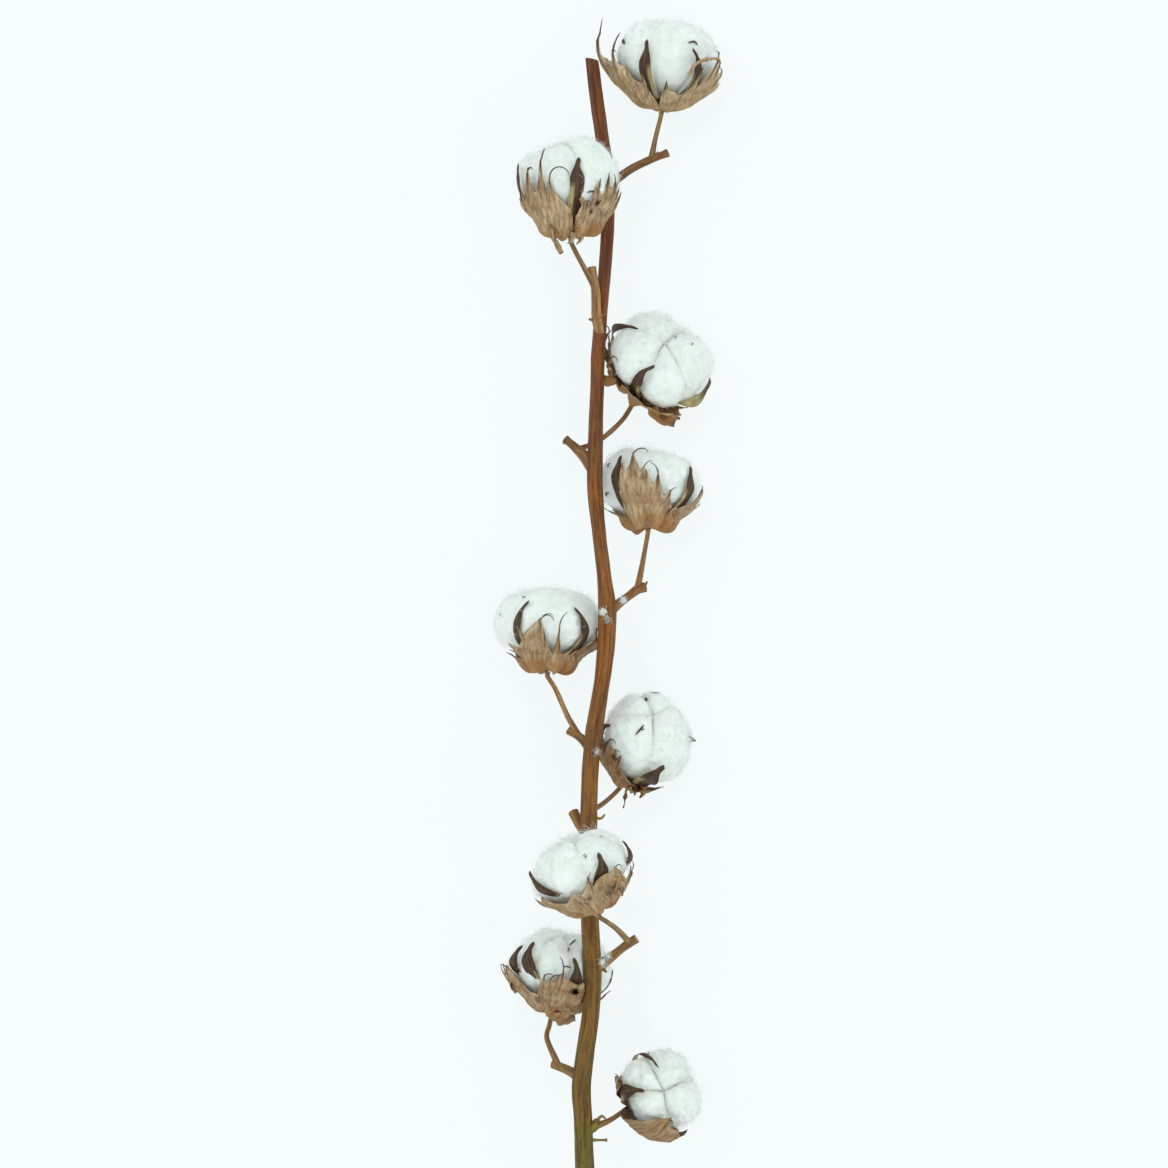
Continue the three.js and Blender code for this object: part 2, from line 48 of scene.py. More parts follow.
# Bolls from the tip of the branch down. Azimuth 0 is the upper side of a boll and 90 its right side, and
# polar angles run from the tip of its axis. For each boll:
# base is the end of its stalk, lean its turn to the right of the stem's direction and tilt its rise.
# locks is the size of each tuft of lint. taper draws the lower half in, shoulder pushes the upper half out
# and flat lowers the top. crease is how deep the lint is parted between its tufts, junction the polar angle
# and azimuth where the partings meet, and grooves the shares of the crease at each valve.
# swells: azimuth, polar angle, rise and spread of places where the lint stands higher or lower.
# age is how brown the bracts are, amber how orange, rims how dark their teeth, bag how far their lobes hang
# round the stalk and crumple how uneven they are.
# valves: azimuth at the root and at the tip, polar angle of the tip, outward bend, sideways hook, side of the
# pale margin and half width, and for some a twist of the upper half about its own length and how far the
# lower part is sunk in the lint.
# leaves: azimuth, polar angle and outward flare of points along the edge of a bract, from left to right.
# backLeaf: azimuth, length, half span and flare of the bract underneath, whose edge is worked out.
# threads: leaf, azimuth, length, curl, the way it curls (0 outward, 90 to the right) and radius.
# holes: leaf, azimuth, polar angle and radius.
# flecks: azimuth, polar angle, heading, length, curl and radius.
# scraps: azimuth, polar angle, lift and width along a curled strip, then its roll.
# stalk: x, y, z and radius from the twig to the straight end under the base.
bolls = [
    {"base": (38.5, 305.5, 31.5), "lean": 7, "tilt": 0, "length": 61, "width": 67,
     "locks": (.92, .91, .91, .90, .91), "taper": .02, "shoulder": .02, "flat": .19, "crease": .5,
     "junction": (0, 0), "age": 0, "amber": -.3,
     "valves": ((-94, -90, 68, 1.5, -1, 1, 3.4), (-26, -22, 82, 2, -.8, 1, 4),
                (44, 27, 85, 1.5, -1, -1, 3.6), (120, 120, 74, 1, 1, 1, 3.6), (212, 212, 74, 1, 1, 1, 3.6)),
     "leaves": (
         ((-10, 158, 0), (-5, 146, .5), (1, 121, 1.5), (8, 134, .5), (17, 137, .5), (25, 141, 0),
          (31, 140, 0), (33, 116, 2), (35, 99, 3), (38, 118, 1), (42, 124, .5), (45, 114, .5), (49, 104, 1),
          (53, 84, 2), (58, 98, .5), (63, 92, .5), (69, 104, 0), (75, 97, 0), (83, 112, 0), (92, 108, 0),
          (101, 130, 0), (110, 154, 0)),
         ((-126, 154, 0), (-118, 112, 1), (-110, 124, .5), (-100, 102, 1.5), (-94, 106, 3), (-87, 74, 10),
          (-78, 98, 3.5), (-66, 103, 2), (-59, 93, 2.5), (-52, 106, 1), (-46, 110, .5), (-42, 121, 0),
          (-37, 127, 0), (-33, 128, 0), (-29, 111, 1), (-26, 130, 0), (-21, 144, 0), (-15, 146, 1),
          (-10, 160, 0))),
     "backLeaf": (180, .6, 48, 1),
     "threads": ((1, -87, 7, 25, 90, .4), (0, 53, 3, 110, 270, .35), (1, -59, 4, 160, 90, .35),
                 (0, 75, 3, 60, 180, .3)),
     "holes": (), "bag": 2.2, "flecks": ((22, 78, 50, 8, 70, .55), (-61, 85, 330, 3.2, 20, .8)),
     "scraps": (
         ((25, 112, 3, 1.6), (28, 101, 4, 2.2), (36, 95, 5, 2.6), (45, 92, 5, 2.6), (53, 91, 5, 2.2),
          (58, 94, 5, .9), 50),),
     "stalk": ((32, 274.5, 37, 2.1), (34.5, 287.5, 34, 1.6))},
    {"base": (-18, 223.5, 69), "lean": -3, "tilt": 0, "length": 62, "width": 61,
     "locks": (1.07, 1.04, 1.02, .99, .97), "taper": .01, "shoulder": 0, "flat": .14, "crease": .6,
     "junction": (0, 0), "age": 0, "amber": -.35, "swells": ((-60, 32, -3, 30),),
     "valves": ((9, 10, 71, 2, 1, -1, 4.6), (80, 80, 96, 0, 1, 1, 3), (168, 168, 74, 1, 1, 1, 3.6),
                (228, 228, 74, 1, 1, 1, 3.6), (290, 290, 70, 2.5, -1, 1, 3.4)),
     "leaves": (
         ((-88, 154, 0), (-84, 116, 0), (-80, 126, 0), (-76, 108, -.5), (-71, 116, 0), (-66, 98, -.5),
          (-61, 112, 0), (-55, 98, 0), (-46, 79, 2), (-41, 97, 1), (-37, 106, .5), (-31, 88, 1),
          (-27, 66, 2), (-25.5, 96, 1), (-24, 110, 0), (-22, 97, .5), (-19, 91, 1), (-17, 108, .5),
          (-13, 110, 1), (-8, 116, .5), (-3, 124, 1), (3, 127, 1), (5, 141, .5), (8, 162, 0)),
         ((7, 162, 0), (9, 136, .5), (12, 125, 1.5), (16, 117, 2), (20, 128, .5), (24, 118, .5),
          (29, 105, .5), (34, 95, 1.5), (38, 108, .5), (41, 109, 0), (44, 89, 1.5), (48, 104, .5),
          (51, 103, .5), (54, 93, 1), (60, 110, 0), (66, 102, .5), (72, 116, 0), (78, 106, 0), (84, 126, 0),
          (90, 154, 0))),
     "backLeaf": (180, .62, 50, 1),
     "threads": ((0, -27, 3, 25, 90, .5), (0, -46, 4, 150, 90, .6), (0, -19, 18, 168, 90, .46),
                 (1, 16, 7, 230, 90, .3), (1, 54, 3, 60, 270, .3)),
     "holes": ((1, 36, 121, 1.3), (1, 30, 130, .9)), "bag": 7, "flecks": ((22, 112, 30, 6, 120, .4),),
     "scraps": (((-60, 152, 5, 9), (-66, 160, 8, 8), (-74, 167, 12, 6), (-80, 172, 17, 2), 120),
                ((8, 156, 8, 4), (2, 165, 10, 4.5), (-12, 172, 12, 3), 200),
                ((20, 155, 8, 4), (32, 162, 10, 4), (30, 170, 12, 2.5), 150),
                ((15, 116, 2, 3), (20, 127, 4, 4), (17, 139, 6, 4), (10, 150, 8, 3), 150)),
     "stalk": ((-4, 195, 54, 2.1), (-9.5, 204.5, 60, 1.7), (-15, 214, 66.5, 1.5))},
    {"base": (25.3, 131, 10.7), "lean": 33, "tilt": 38, "length": 55, "width": 66,
     "locks": (1, .97, .98, .95), "taper": .04, "shoulder": 0, "flat": 0, "crease": 1.35,
     "junction": (28, -19), "age": .2, "amber": .7, "rims": .35, "grooves": (.35, 1, .8, 1),
     "swells": ((46, 112, 4.5, 24),),
     "valves": ((-90, -66, 54, 1, 1, 1, 3.1, -40), (-4, -11, 65, 2, 2.2, 1, 3.6),
                (52, 80, 72, 2, .9, -1, 5.2, -50, 7), (165, 165, 100, 0, 1, 1, 3.4)),
     "leaves": (
         ((-118, 152, 0), (-110, 108, 1), (-100, 122, 0), (-90, 100, 1), (-80, 112, 0), (-74, 100, 1),
          (-66, 78, 2), (-60, 108, 1), (-53, 104, 1), (-48, 117, 1), (-41, 86, 3), (-37, 112, 2),
          (-33, 96, 3), (-28, 118, 2), (-24, 110, 3), (-20, 134, 0)),
         ((-26, 134, 1), (-21, 110, 1), (-12, 108, 1), (-5, 107, 1.5), (2, 108, 1.5), (9, 111, 2),
          (15, 111, 3), (21, 107, 4), (27, 108, 5), (33, 106, 5), (38, 101, 6), (43, 104, 5), (50, 104, 5),
          (56, 112, 2), (64, 118, 0), (72, 108, 0), (80, 145, 0))),
     "backLeaf": (165, .6, 50, 1),
     "threads": ((0, -66, 5, 90, 0, .4), (0, -41, 6, 120, 90, .35), (0, -33, 5, 140, 270, .35),
                 (1, 38, 3, 90, 90, .3)),
     "holes": (), "bag": 5.5, "crumple": 1.3, "flecks": ((8, 12, 0, 4, 80, .25), (70, 28, 60, 4, 60, .25)),
     "scraps": (((24, 112, 4, 5), (32, 118, 7, 6.5), (42, 116, 9, 7), (52, 110, 10, 6), 210),
                ((26, 122, 5, 7), (36, 131, 8, 10), (46, 129, 11, 10), (54, 120, 13, 5), -75),
                ((-30, 116, 4, 5), (-36, 116, 9, 7), (-42, 114, 15, 7), 100)),
     "stalk": ((-14, 94, 40, 2), (-7, 96.5, 33, 1.7), (2.5, 102, 27.5, 1.6), (14, 113, 17, 1.5),
               (20.8, 123.5, 9, 1.5))},
    {"base": (30, 44.5, 34.5), "lean": 2, "tilt": -12, "length": 51, "width": 64,
     "locks": (1, .97, .99, .98), "taper": .04, "shoulder": .03, "flat": .20, "crease": .55,
     "junction": (0, 0), "age": .15, "swells": ((-65, 42, 2.5, 26), (50, 38, -2, 26)),
     "valves": ((-43, -35, 66, 1.5, -.8, 1, 4.3), (56, 47, 76, 1.5, 1, -1, 4.3),
                (128, 128, 76, 0, 1, 1, 3.6), (226, 226, 76, 1, 1, 1, 3.6)),
     "leaves": (
         ((34, 150, 0), (41, 131, .5), (48, 125, .5), (53, 130, 0), (60, 122, .5), (66, 98, 2.5),
          (72, 105, 2), (78, 116, .5), (86, 108, .5), (94, 120, 0), (103, 106, 1), (112, 118, 0),
          (122, 152, 0)),
         ((-58, 150, 0), (-50, 135, 0), (-42, 126, 0), (-36, 110, 0), (-33, 104, 0), (-30, 90, .5),
          (-28, 82, 1), (-25, 92, .5), (-22, 86, .5), (-19, 70, 1.5), (-14, 81, .5), (-11, 90, .5),
          (-8, 86, 1), (-4, 90, 1.5), (0, 99, .5), (3, 104, .5), (7, 90, 2), (11, 104, .5), (14, 112, 0),
          (18, 113, 0), (21, 107, 1.5), (27, 118, 0), (38, 128, 0), (46, 150, 0))),
     "backLeaf": (-120, .56, 50, 0),
     "threads": ((1, -19, 11, 158, 90, .45), (1, -8, 7, 80, 90, .35), (1, 7, 7, 70, 270, .4),
                 (1, 21, 3, 60, 90, .3), (0, 66, 4, 100, 270, .4)),
     "holes": (), "bag": 7, "flecks": ((-62, 78, 0, 3, 60, .35), (-72, 112, 0, 4, 120, .4)),
     "scraps": (((44, 134, 2, 3), (50, 136, 4, 4), (58, 134, 5, 3), 190),
                ((30, 150, 3, 5), (50, 158, 6, 7), (66, 152, 7, 5), 120)),
     "stalk": ((23.5, 8, 43, 2.1), (27, 25, 38.5, 1.6))},
    {"base": (-32.5, -44.5, 35.5), "lean": 1, "tilt": -8, "length": 53, "width": 68,
     "locks": (1, .97, .99, .98), "taper": .07, "shoulder": .04, "flat": .17, "crease": .45,
     "junction": (0, 0), "age": .2, "swells": ((-75, 50, 1.5, 28), (80, 50, 1, 28)),
     "valves": ((-38, -28, 71, 1.5, 1.3, 1, 3.3), (50, 31, 78, 1.5, -.8, -1, 3.8),
                (128, 128, 76, 0, 1, 1, 3.6), (226, 226, 76, 1, 1, 1, 3.6)),
     "leaves": (
         ((36, 154, 0), (42, 137, .5), (47, 126, 1.5), (51, 131, .5), (55, 114, 1), (60, 96, 2.5),
          (66, 108, 1), (74, 102, 2), (82, 116, 0), (90, 104, 1), (100, 122, 0), (110, 108, 1),
          (120, 130, 0), (128, 154, 0)),
         ((-64, 148, 0), (-58, 126, .5), (-50, 115, 1.5), (-44, 119, 1), (-40, 122, 0), (-33, 116, 0),
          (-26, 107, 0), (-20, 102, .5), (-13, 96, .5), (-7, 91, 1.5), (-4, 103, .5), (0, 117, 0),
          (3, 126, 0), (7, 133, 0), (9, 112, 1), (10.5, 94, 2), (13, 112, 1), (18, 129, 0), (24, 133, 0),
          (30, 128, 1), (33, 122, 2), (38, 134, .5), (48, 140, 0), (54, 154, 0))),
     "backLeaf": (-130, .58, 50, 0),
     "threads": ((1, -7, 10, 172, 90, .45), (1, -7, 8, 120, 90, .3), (1, 10.5, 7, 45, 90, .4),
                 (1, 33, 3, 90, 90, .3), (0, 60, 3, 90, 0, .35)),
     "holes": (), "bag": 6.5, "flecks": ((-40, 62, 30, 2, 60, .25), (-70, 84, 30, 2, 60, .25)),
     "scraps": (((-10, 152, 3, 4), (6, 156, 5, 5.5), (22, 160, 7, 6), (34, 166, 8, 4), 130),),
     "stalk": ((-13.5, -84, 46.5, 2.1), (-20.5, -71.5, 42.5, 1.6), (-27.5, -56, 38.5, 1.5))},
    {"base": (17, -113, 12.5), "lean": 28, "tilt": 29, "length": 61, "width": 59,
     "locks": (.97, 1, .98, .96), "taper": 0, "shoulder": 0, "flat": 0, "crease": 1.1,
     "junction": (24, -35), "age": .75, "amber": .2, "grooves": (1, .55, 1, .6),
     "swells": ((-115, 40, 3, 32), (104, 66, -3, 40)),
     "valves": ((-150, -151, 28, 1.5, .3, 1, 2.1), (-70, -61, 77, 3, 1.5, 1, 5, -50),
                (20, 23, 80, 3, .8, -1, 5.6, 25), (150, 70, 47, .3, 0, 1, 1.1, 0, 3)),
     "leaves": (
         ((0, 152, 1), (8, 126, 2), (14, 134, 2), (20, 122, 3), (28, 136, 2), (36, 124, 2.5), (44, 132, 1),
          (52, 126, .5), (60, 134, 0), (68, 130, 0), (76, 150, 0)),
         ((-116, 152, 0), (-108, 112, 1), (-98, 124, 0), (-88, 104, 1), (-78, 118, 0), (-68, 100, 1),
          (-60, 112, .5), (-54, 98, 1), (-50, 86, 2), (-46, 100, 1), (-40, 84, 2), (-35, 95, .5),
          (-28, 89, 1), (-24, 98, .5), (-19, 89, 1.5), (-15, 104, .5), (-8, 112, 0), (-3, 118, 0),
          (6, 120, 1), (14, 127, 0), (20, 148, 0))),
     "backLeaf": (150, .5, 48, 2),
     "threads": ((1, -50, 6, 140, 0, .35), (1, -40, 6, 120, 90, .35), (1, -19, 5, 200, 0, .35),
                 (1, -28, 3, 90, 90, .3), (0, 20, 4, 90, 0, .3)),
     "holes": ((1, -26, 100, 1.2),), "bag": 3.4,
     "flecks": ((-22, 47, 172, 8, 18, .5), (-17, 51, 200, 4, 40, .35), (-112, 34, 62, 6.5, 20, .8)),
     "scraps": (((2, 150, 2, 3.5), (10, 158, 7, 3), (18, 160, 13, 2.4), (20, 156, 19, .8), 150),
                ((16, 138, 3, 4), (20, 146, 6, 5), (26, 150, 8, 4), 230),
                ((28, 130, 2, 5), (34, 138, 5, 4), (34, 144, 9, 1), 100)),
     "stalk": ((-14, -136.5, 45, 2), (-8, -133, 37, 1.7), (0, -129, 29, 1.6), (7, -124, 20, 1.5),
               (12.5, -119, 12.5, 1.5))},
    {"base": (-1.5, -189.5, 89), "lean": -21, "tilt": 4, "length": 52, "width": 61,
     "locks": (1, .97, .96, .98, .98), "taper": .05, "shoulder": .02, "flat": .19, "crease": .6,
     "junction": (0, 0), "age": .25, "swells": ((-90, 50, -2.5, 30), (50, 30, -2, 30)),
     "valves": ((-34, -71, 70, 2.5, -1, 1, 4.1, -20, 3.5), (10, 32, 73, 2.5, -1, -1, 4.6, 15, 2.5),
                (76, 84, 76, 1, -1, 1, 3.2, 20, 4), (148, 148, 76, 0, 1, 1, 3.4),
                (226, 226, 76, 0, 1, 1, 3.4)),
     "leaves": (
         ((-106, 152, 0), (-98, 110, 1), (-90, 119, 0), (-80, 101, 1), (-72, 107, .5), (-62, 100, .5),
          (-53, 103, .5), (-44, 105, .5), (-38, 110, 0), (-34, 113, 0), (-30, 114, 0), (-22, 107, .5),
          (-16, 104, 1), (-12, 108, .5), (-8, 106, 1), (-3, 107, 1), (2, 122, 0), (8, 146, 0)),
         ((-12, 140, 0), (-7, 106, 1), (-2, 101, .5), (5, 91, .5), (7, 103, 0), (11, 99, 0), (17, 97, .5),
          (24, 96, 1), (30, 97, .5), (34, 92, .5), (38, 98, .5), (42, 106, 1), (48, 112, .5), (56, 100, 1),
          (64, 118, 0), (72, 104, 1), (80, 122, 0), (86, 150, 0))),
     "backLeaf": (175, .5, 46, 0),
     "threads": ((1, 5, 2, 60, 90, .3), (1, 34, 5, 190, 90, .3), (1, 72, 3, 60, 180, .3)), "holes": (),
     "bag": 3.6, "crumple": 1.5,
     "flecks": ((12, 72, 30, 2, 60, .3), (14, 66, 200, 2, 80, .2), (66, 54, 60, 5, 60, .25)),
     "scraps": (((22, 104, 3, 4), (30, 108, 5, 7), (38, 114, 5, 8), (44, 124, 4, 5), 90),
                ((44, 102, 2, 4), (38, 108, 5, 7), (30, 114, 6, 7), (24, 122, 5, 4), -110),
                ((30, 118, 3, 4), (36, 126, 6, 7), (44, 130, 6, 6), (50, 124, 4, 3), 160),
                ((12, 112, 2, 3), (16, 122, 4, 5), (24, 130, 5, 5), (30, 134, 4, 2), 120),
                ((-6, 152, 2, 4), (-10, 158, 4, 5), (-16, 166, 6, 4), (-4, 172, 9, .8), 130)),
     "stalk": ((18, -211, 61.5, 2.1), (11, -202.5, 71, 1.7), (4.5, -196.5, 82, 1.5))},
    {"base": (-30, -258, 31.5), "lean": 10, "tilt": 0, "length": 53, "width": 66,
     "locks": (.96, .96, .98, .98, .95), "taper": .02, "shoulder": .02, "flat": .06, "crease": .9,
     "junction": (14, -20), "age": .35, "swells": ((-90, 58, -4, 32),),
     "valves": ((22, 16, 72, 2, -1, -1, 4.6), (92, 92, 84, 0, 1, 1, 3.4), (166, 166, 68, 1, 1, 1, 3.4),
                (301, 305, 71, 2.5, 1, 1, 4, -20, 5), (331, 317, 63, 2.5, 1, 1, 4.8, -12, 3.5)),
     "leaves": (
         ((-124, 154, 0), (-114, 104, 1), (-106, 118, 0), (-96, 98, 1), (-86, 110, .5), (-76, 96, 1.5),
          (-68, 106, 1), (-60, 94, 2), (-55, 98, 1.5), (-50, 104, 1), (-44, 109, .5), (-38, 115, 0),
          (-30, 118, 0), (-26, 119, 0), (-21, 124, 0), (-16, 150, 0)),
         ((-32, 154, 0), (-26, 124, 0), (-20, 112, .5), (-16, 99, 1), (-13, 92, 2), (-11, 101, 1),
          (-9, 98, 1), (-7, 94, 2), (-4, 100, 1), (-1, 91, 2), (1.5, 97, 1), (3, 83, 2), (6, 94, 1),
          (10, 95, 1), (14, 97, .5), (19, 98, 1), (24, 95, 1), (29, 103, .5), (33, 107, 1), (38, 112, 1),
          (44, 118, 1), (50, 126, .5), (56, 154, 0))),
     "backLeaf": (138, .78, 50, 2),
     "threads": ((1, -13, 5, 120, 90, .4), (1, -7, 6, 90, 90, .4), (1, 3, 7, 45, 270, .45),
                 (1, -1, 4, 90, 90, .35), (0, -60, 3, 90, 0, .35)),
     "holes": ((1, 18, 106, 1.7),), "bag": 5.0, "crumple": 1.3,
     "flecks": ((3, 84, 60, 5, 60, .4), (25, 37, 212, 6.4, 8, .42), (8, 55, 176, 4, 25, .32)),
     "scraps": (((-14, 154, 5, 6), (10, 158, 8, 11), (38, 158, 9, 11), (60, 150, 8, 7), -70),
                ((40, 112, 3, 3), (42, 122, 5, 7), (36, 134, 5, 8), (24, 142, 4, 5), 100),
                ((-60, 104, 2, 4), (-64, 114, 4, 5), (-62, 126, 5, 4), 110)),
     "stalk": ((-26.5, -287.5, 47.5, 2.1), (-33, -273.5, 39, 1.7), (-31.5, -266, 33.5, 1.5))},
    {"base": (22.9, -315.1, 28.4), "lean": 55, "tilt": 50, "length": 50, "width": 53,
     "locks": (.98, 1, .97, .97), "taper": .12, "shoulder": 0, "flat": 0, "crease": 1.5,
     "junction": (30, -11), "age": .5, "swells": ((-6, 96, -3.5, 28),),
     "valves": ((-98, -80, 40, 1, 1, 1, 1.9), (-34, -28, 56, 2, .6, 1, 4.5),
                (66, 86, 80, 2, -.8, -1, 4, -30), (168, 168, 100, 0, 1, 1, 3)),
     "leaves": (
         ((-114, 150, 0), (-106, 128, 0), (-98, 134, 0), (-88, 124, 0), (-78, 130, 0), (-68, 116, 0),
          (-60, 114, 0), (-53, 92, 1), (-48, 98, .5), (-43, 86, 1), (-37, 98, 0), (-30, 130, 0)),
         ((-18, 146, 0), (-13, 124, 0), (-8, 108, 0), (-4, 98, 0), (0, 90, 0), (6, 81, 0), (11, 73, .5),
          (16, 64, .5), (22, 59, .5), (29, 54, 1), (35, 49, 1.5), (39, 58, 1), (45, 63, .5), (52, 64, .5),
          (58, 66, .5), (63, 72, .5), (68, 80, 0), (72, 92, 0), (78, 104, 0), (84, 118, 0), (92, 140, 0))),
     "backLeaf": (170, .6, 48, 0),
     "threads": ((1, 35, 3, 120, 0, .4), (1, 68, 3, 90, 90, .4), (0, -53, 3, 60, 0, .3)), "holes": (),
     "bag": .4, "flecks": ((-104, 82, 0, 3, 90, .35), (0, 6, 20, 3, 60, .25)),
     "scraps": (((38, 70, 1, 2), (46, 66, 3, 2.6), (56, 64, 5, 1.4), 200),),
     "stalk": ((-3, -325, 57, 2.4), (5.5, -322.5, 52, 1.8), (12, -320, 42, 1.6), (16.8, -318.3, 30.5, 1.5))},
]

# Wood from end to end: x, y, z and radius at each point of a route. pale is how light it is, ridge and lump
# are the heights of its fine and broad bumps, and cuts says whether its first and last ends are sawn.
mainStem = {
    "spacing": 1.7, "sides": 30, "pale": 0, "ridge": .10, "lump": .16, "cuts": (True, True), "seed": 1,
    "endSlant": 0.35, "slantReach": 12,
    "route": ((-5, 336.5, 40, 4), (-2, 311.5, 41, 4.3), (1.5, 286.5, 42, 4.3), (4.5, 261.5, 43, 4.7),
              (5, 239.5, 43.5, 4.2), (4, 217.5, 44, 4.1), (1.5, 186.5, 45, 3.9), (-1, 155.5, 46, 4.3),
              (-2, 124, 47, 4.3), (-3, 93, 47.5, 4.8), (-3, 68, 48.5, 4.9), (-.5, 40.5, 49, 4.3),
              (2.5, 15.5, 50, 4.5), (4.5, -6, 50.5, 5.7), (3.5, -31, 51, 5.5), (.5, -55.5, 52, 5),
              (-3.5, -80.5, 52.5, 5.5), (-6, -105, 53.5, 5.2), (-7, -136, 54.5, 5.3), (-7, -173, 55.5, 5.6),
              (-6, -204, 56.5, 5.6), (-4.5, -231.5, 57, 5.6), (-6, -256.5, 57, 5.4), (-9, -278, 57.5, 5.7),
              (-11.5, -299.5, 57.5, 6), (-10.5, -321, 57, 5.7), (-9.5, -351, 56.5, 6),
              (-8, -394.5, 56, 6.1)),
}
sideTwigs = {
    "spacing": 0.8, "sides": 18, "pale": (.35, .85, .35, .35, .35, .35, .35, .35, .35), "ridge": .16,
    "lump": .35, "cuts": (False, True), "seed": 5,
    "routes": (
        ((4.5, 258, 43, 3.6), (12, 263, 41.5, 2.9), (19, 268, 40, 2.5), (31, 274.5, 37, 2.6),
         (39, 277.5, 35.5, 2.5), (42.5, 279, 35, 2.7)),
        ((.5, 164, 46, 3), (-2, 175, 50.5, 3.4), (-2.5, 190, 52.5, 2.7), (-4, 199, 54.5, 2.8),
         (-5, 206, 56, 2.6)),
        ((-3, 79, 48, 4.2), (-9, 88.5, 44.5, 3.7), (-15, 94.5, 40, 3), (-19.5, 98.5, 37, 2.7),
         (-21.5, 100, 36, 3.2)),
        ((4.5, -8, 50.5, 3.8), (11, -2.5, 48.5, 3), (17.5, 2, 46, 2.5), (23.5, 6.5, 43.5, 2.8),
         (28, 8, 42, 3.1)),
        ((-3.5, -95, 52.5, 3.8), (-9, -88.5, 50, 3), (-13.5, -84.5, 47, 2.6), (-19.5, -81, 44, 2.7)),
        ((-7, -149, 54.5, 3), (-11.5, -142, 50, 2.7), (-16.5, -132, 42.5, 3.3)),
        ((-3.5, -229, 57, 3.8), (1.5, -224.5, 57.5, 3.3), (11, -217, 59, 2.6), (17.5, -212, 61, 2.9),
         (22.5, -208.5, 62, 3)),
        ((-10.5, -297, 57.5, 3.6), (-16.5, -292.5, 55.5, 3), (-22, -290, 52, 2.6), (-29, -288, 46.5, 2.8)),
        ((-8, -328, 57, 3), (-3.5, -325, 57, 3.1), (-1.5, -321, 57.5, 1.9))),
}
bollStalks = {
    "spacing": 0.9, "sides": 14, "pale": .75, "ridge": .1, "lump": .12, "cuts": (False, False), "seed": 21,
    "straight": 3.5, "radius": 1.5, "endSwell": .2, "gap": 0.4,
}
thorns = {
    "spacing": 0.5, "sides": 9, "pale": .55, "ridge": .12, "lump": .25, "cuts": (False, False), "seed": 41,
    "routes": (((35, 275.5, 37, 1.1), (36, 279.5, 38.5, .5)), ((-1, 172, 50, 1.5), (-7, 174, 52.5, .6)),
               ((-1, 174, 51, 1.4), (3.5, 177.5, 54, .5)), ((26, 6, 42.5, 1.3), (29.5, 11.5, 43.5, .5)),
               ((-4, -134.5, 55, 1.2), (.5, -135, 56, .8), (3, -132.5, 56.5, .5)),
               ((0, -226, 58, 1.6), (4, -229.5, 60, .6)),
               ((-2, -321.5, 57.5, 1.1), (1, -318.5, 59, .8), (3.5, -320, 60, .5)),
               ((-7, -333.5, 57, 1.4), (.5, -333.5, 57.5, .9), (4.5, -333.5, 57.5, 1.4))),
}

noiseTurn = np.array([[.36, .48, -.8], [-.8, .6, 0], [.48, .64, .6]])  # a turn that hides the noise's lattice
scatter, scatterScale = np.array([12.9898, 78.233, 37.719]), 43758.5453  # large numbers that mix up a sine
cutRings = np.array([.25, .6, .93])  # shares of the radius of the rings on a sawn end


# 3t2 - 2t3, where t is the share of the way from low to high.
def ease(value, low, high):
    t = np.clip((value - low) / (high - low), 0, 1)
    return t * t * (3 - 2 * t)


# The fraction of a large multiple of sin(12.9898 a + 78.233 b): a number from 0 to 1 that looks random.
def vary(a, b):
    return (np.sin(np.asarray(a) * scatter[0] + np.asarray(b) * scatter[1]) * scatterScale) % 1


# Random numbers at the corners of a lattice, blended inside each cell by 3t2 - 2t3. It runs from -1 to 1.
def softNoise(points, size, seed=0):
    place = points @ noiseTurn / size + 17.3 * seed
    cell = np.floor(place)
    t = place - cell
    t = t * t * (3 - 2 * t)
    total = 0
    for corner in np.ndindex(2, 2, 2):
        wave = (np.sin((cell + corner) @ scatter) * scatterScale) % 1
        total = total + np.prod(np.where(corner, t, 1 - t), axis=-1) * wave
    return 2 * total - 1


# Each vector divided by its length.
def unit(vectors):
    return vectors / np.maximum(np.linalg.norm(vectors, axis=-1, keepdims=True), 1e-9)


# A smooth curve through the route's points, walked in even steps. Between b and c, with a before and d after,
# it is half of 2b + (c - a) f + (2a - 5b + 4c - d) f2 + (3b - a - 3c + d) f3. Its columns are x, y, z and
# radius.
def followRoute(route, spacing, fine=24):
    keys = np.array(route, float)
    padded = np.vstack([2 * keys[0] - keys[1], keys, 2 * keys[-1] - keys[-2]])
    t = np.linspace(0, len(keys) - 1, fine * (len(keys) - 1) + 1)
    i = np.minimum(t.astype(int), len(keys) - 2)
    f = (t - i)[:, None]
    a, b, c, d = (padded[i + k] for k in range(4))
    line = .5 * (2 * b + (c - a) * f + (2 * a - 5 * b + 4 * c - d) * f ** 2
                 + (3 * b - a - 3 * c + d) * f ** 3)
    run = np.r_[0, np.cumsum(np.linalg.norm(np.diff(line[:, :3], axis=0), axis=1))]
    even = np.linspace(0, run[-1], max(int(run[-1] / spacing), 3) + 1)
    return np.column_stack([np.interp(even, run, line[:, k]) for k in range(4)]), even


# The direction of a line at each of its points and two directions across it: the one that the whole line runs
# along least, made square to the line, and the cross product of the two.
def acrossLine(places):
    along = unit(np.gradient(places, axis=0))
    least = np.linalg.svd(along, full_matrices=False)[2][-1]
    side = unit(np.cross(along, least))
    return along, np.cross(side, along), side


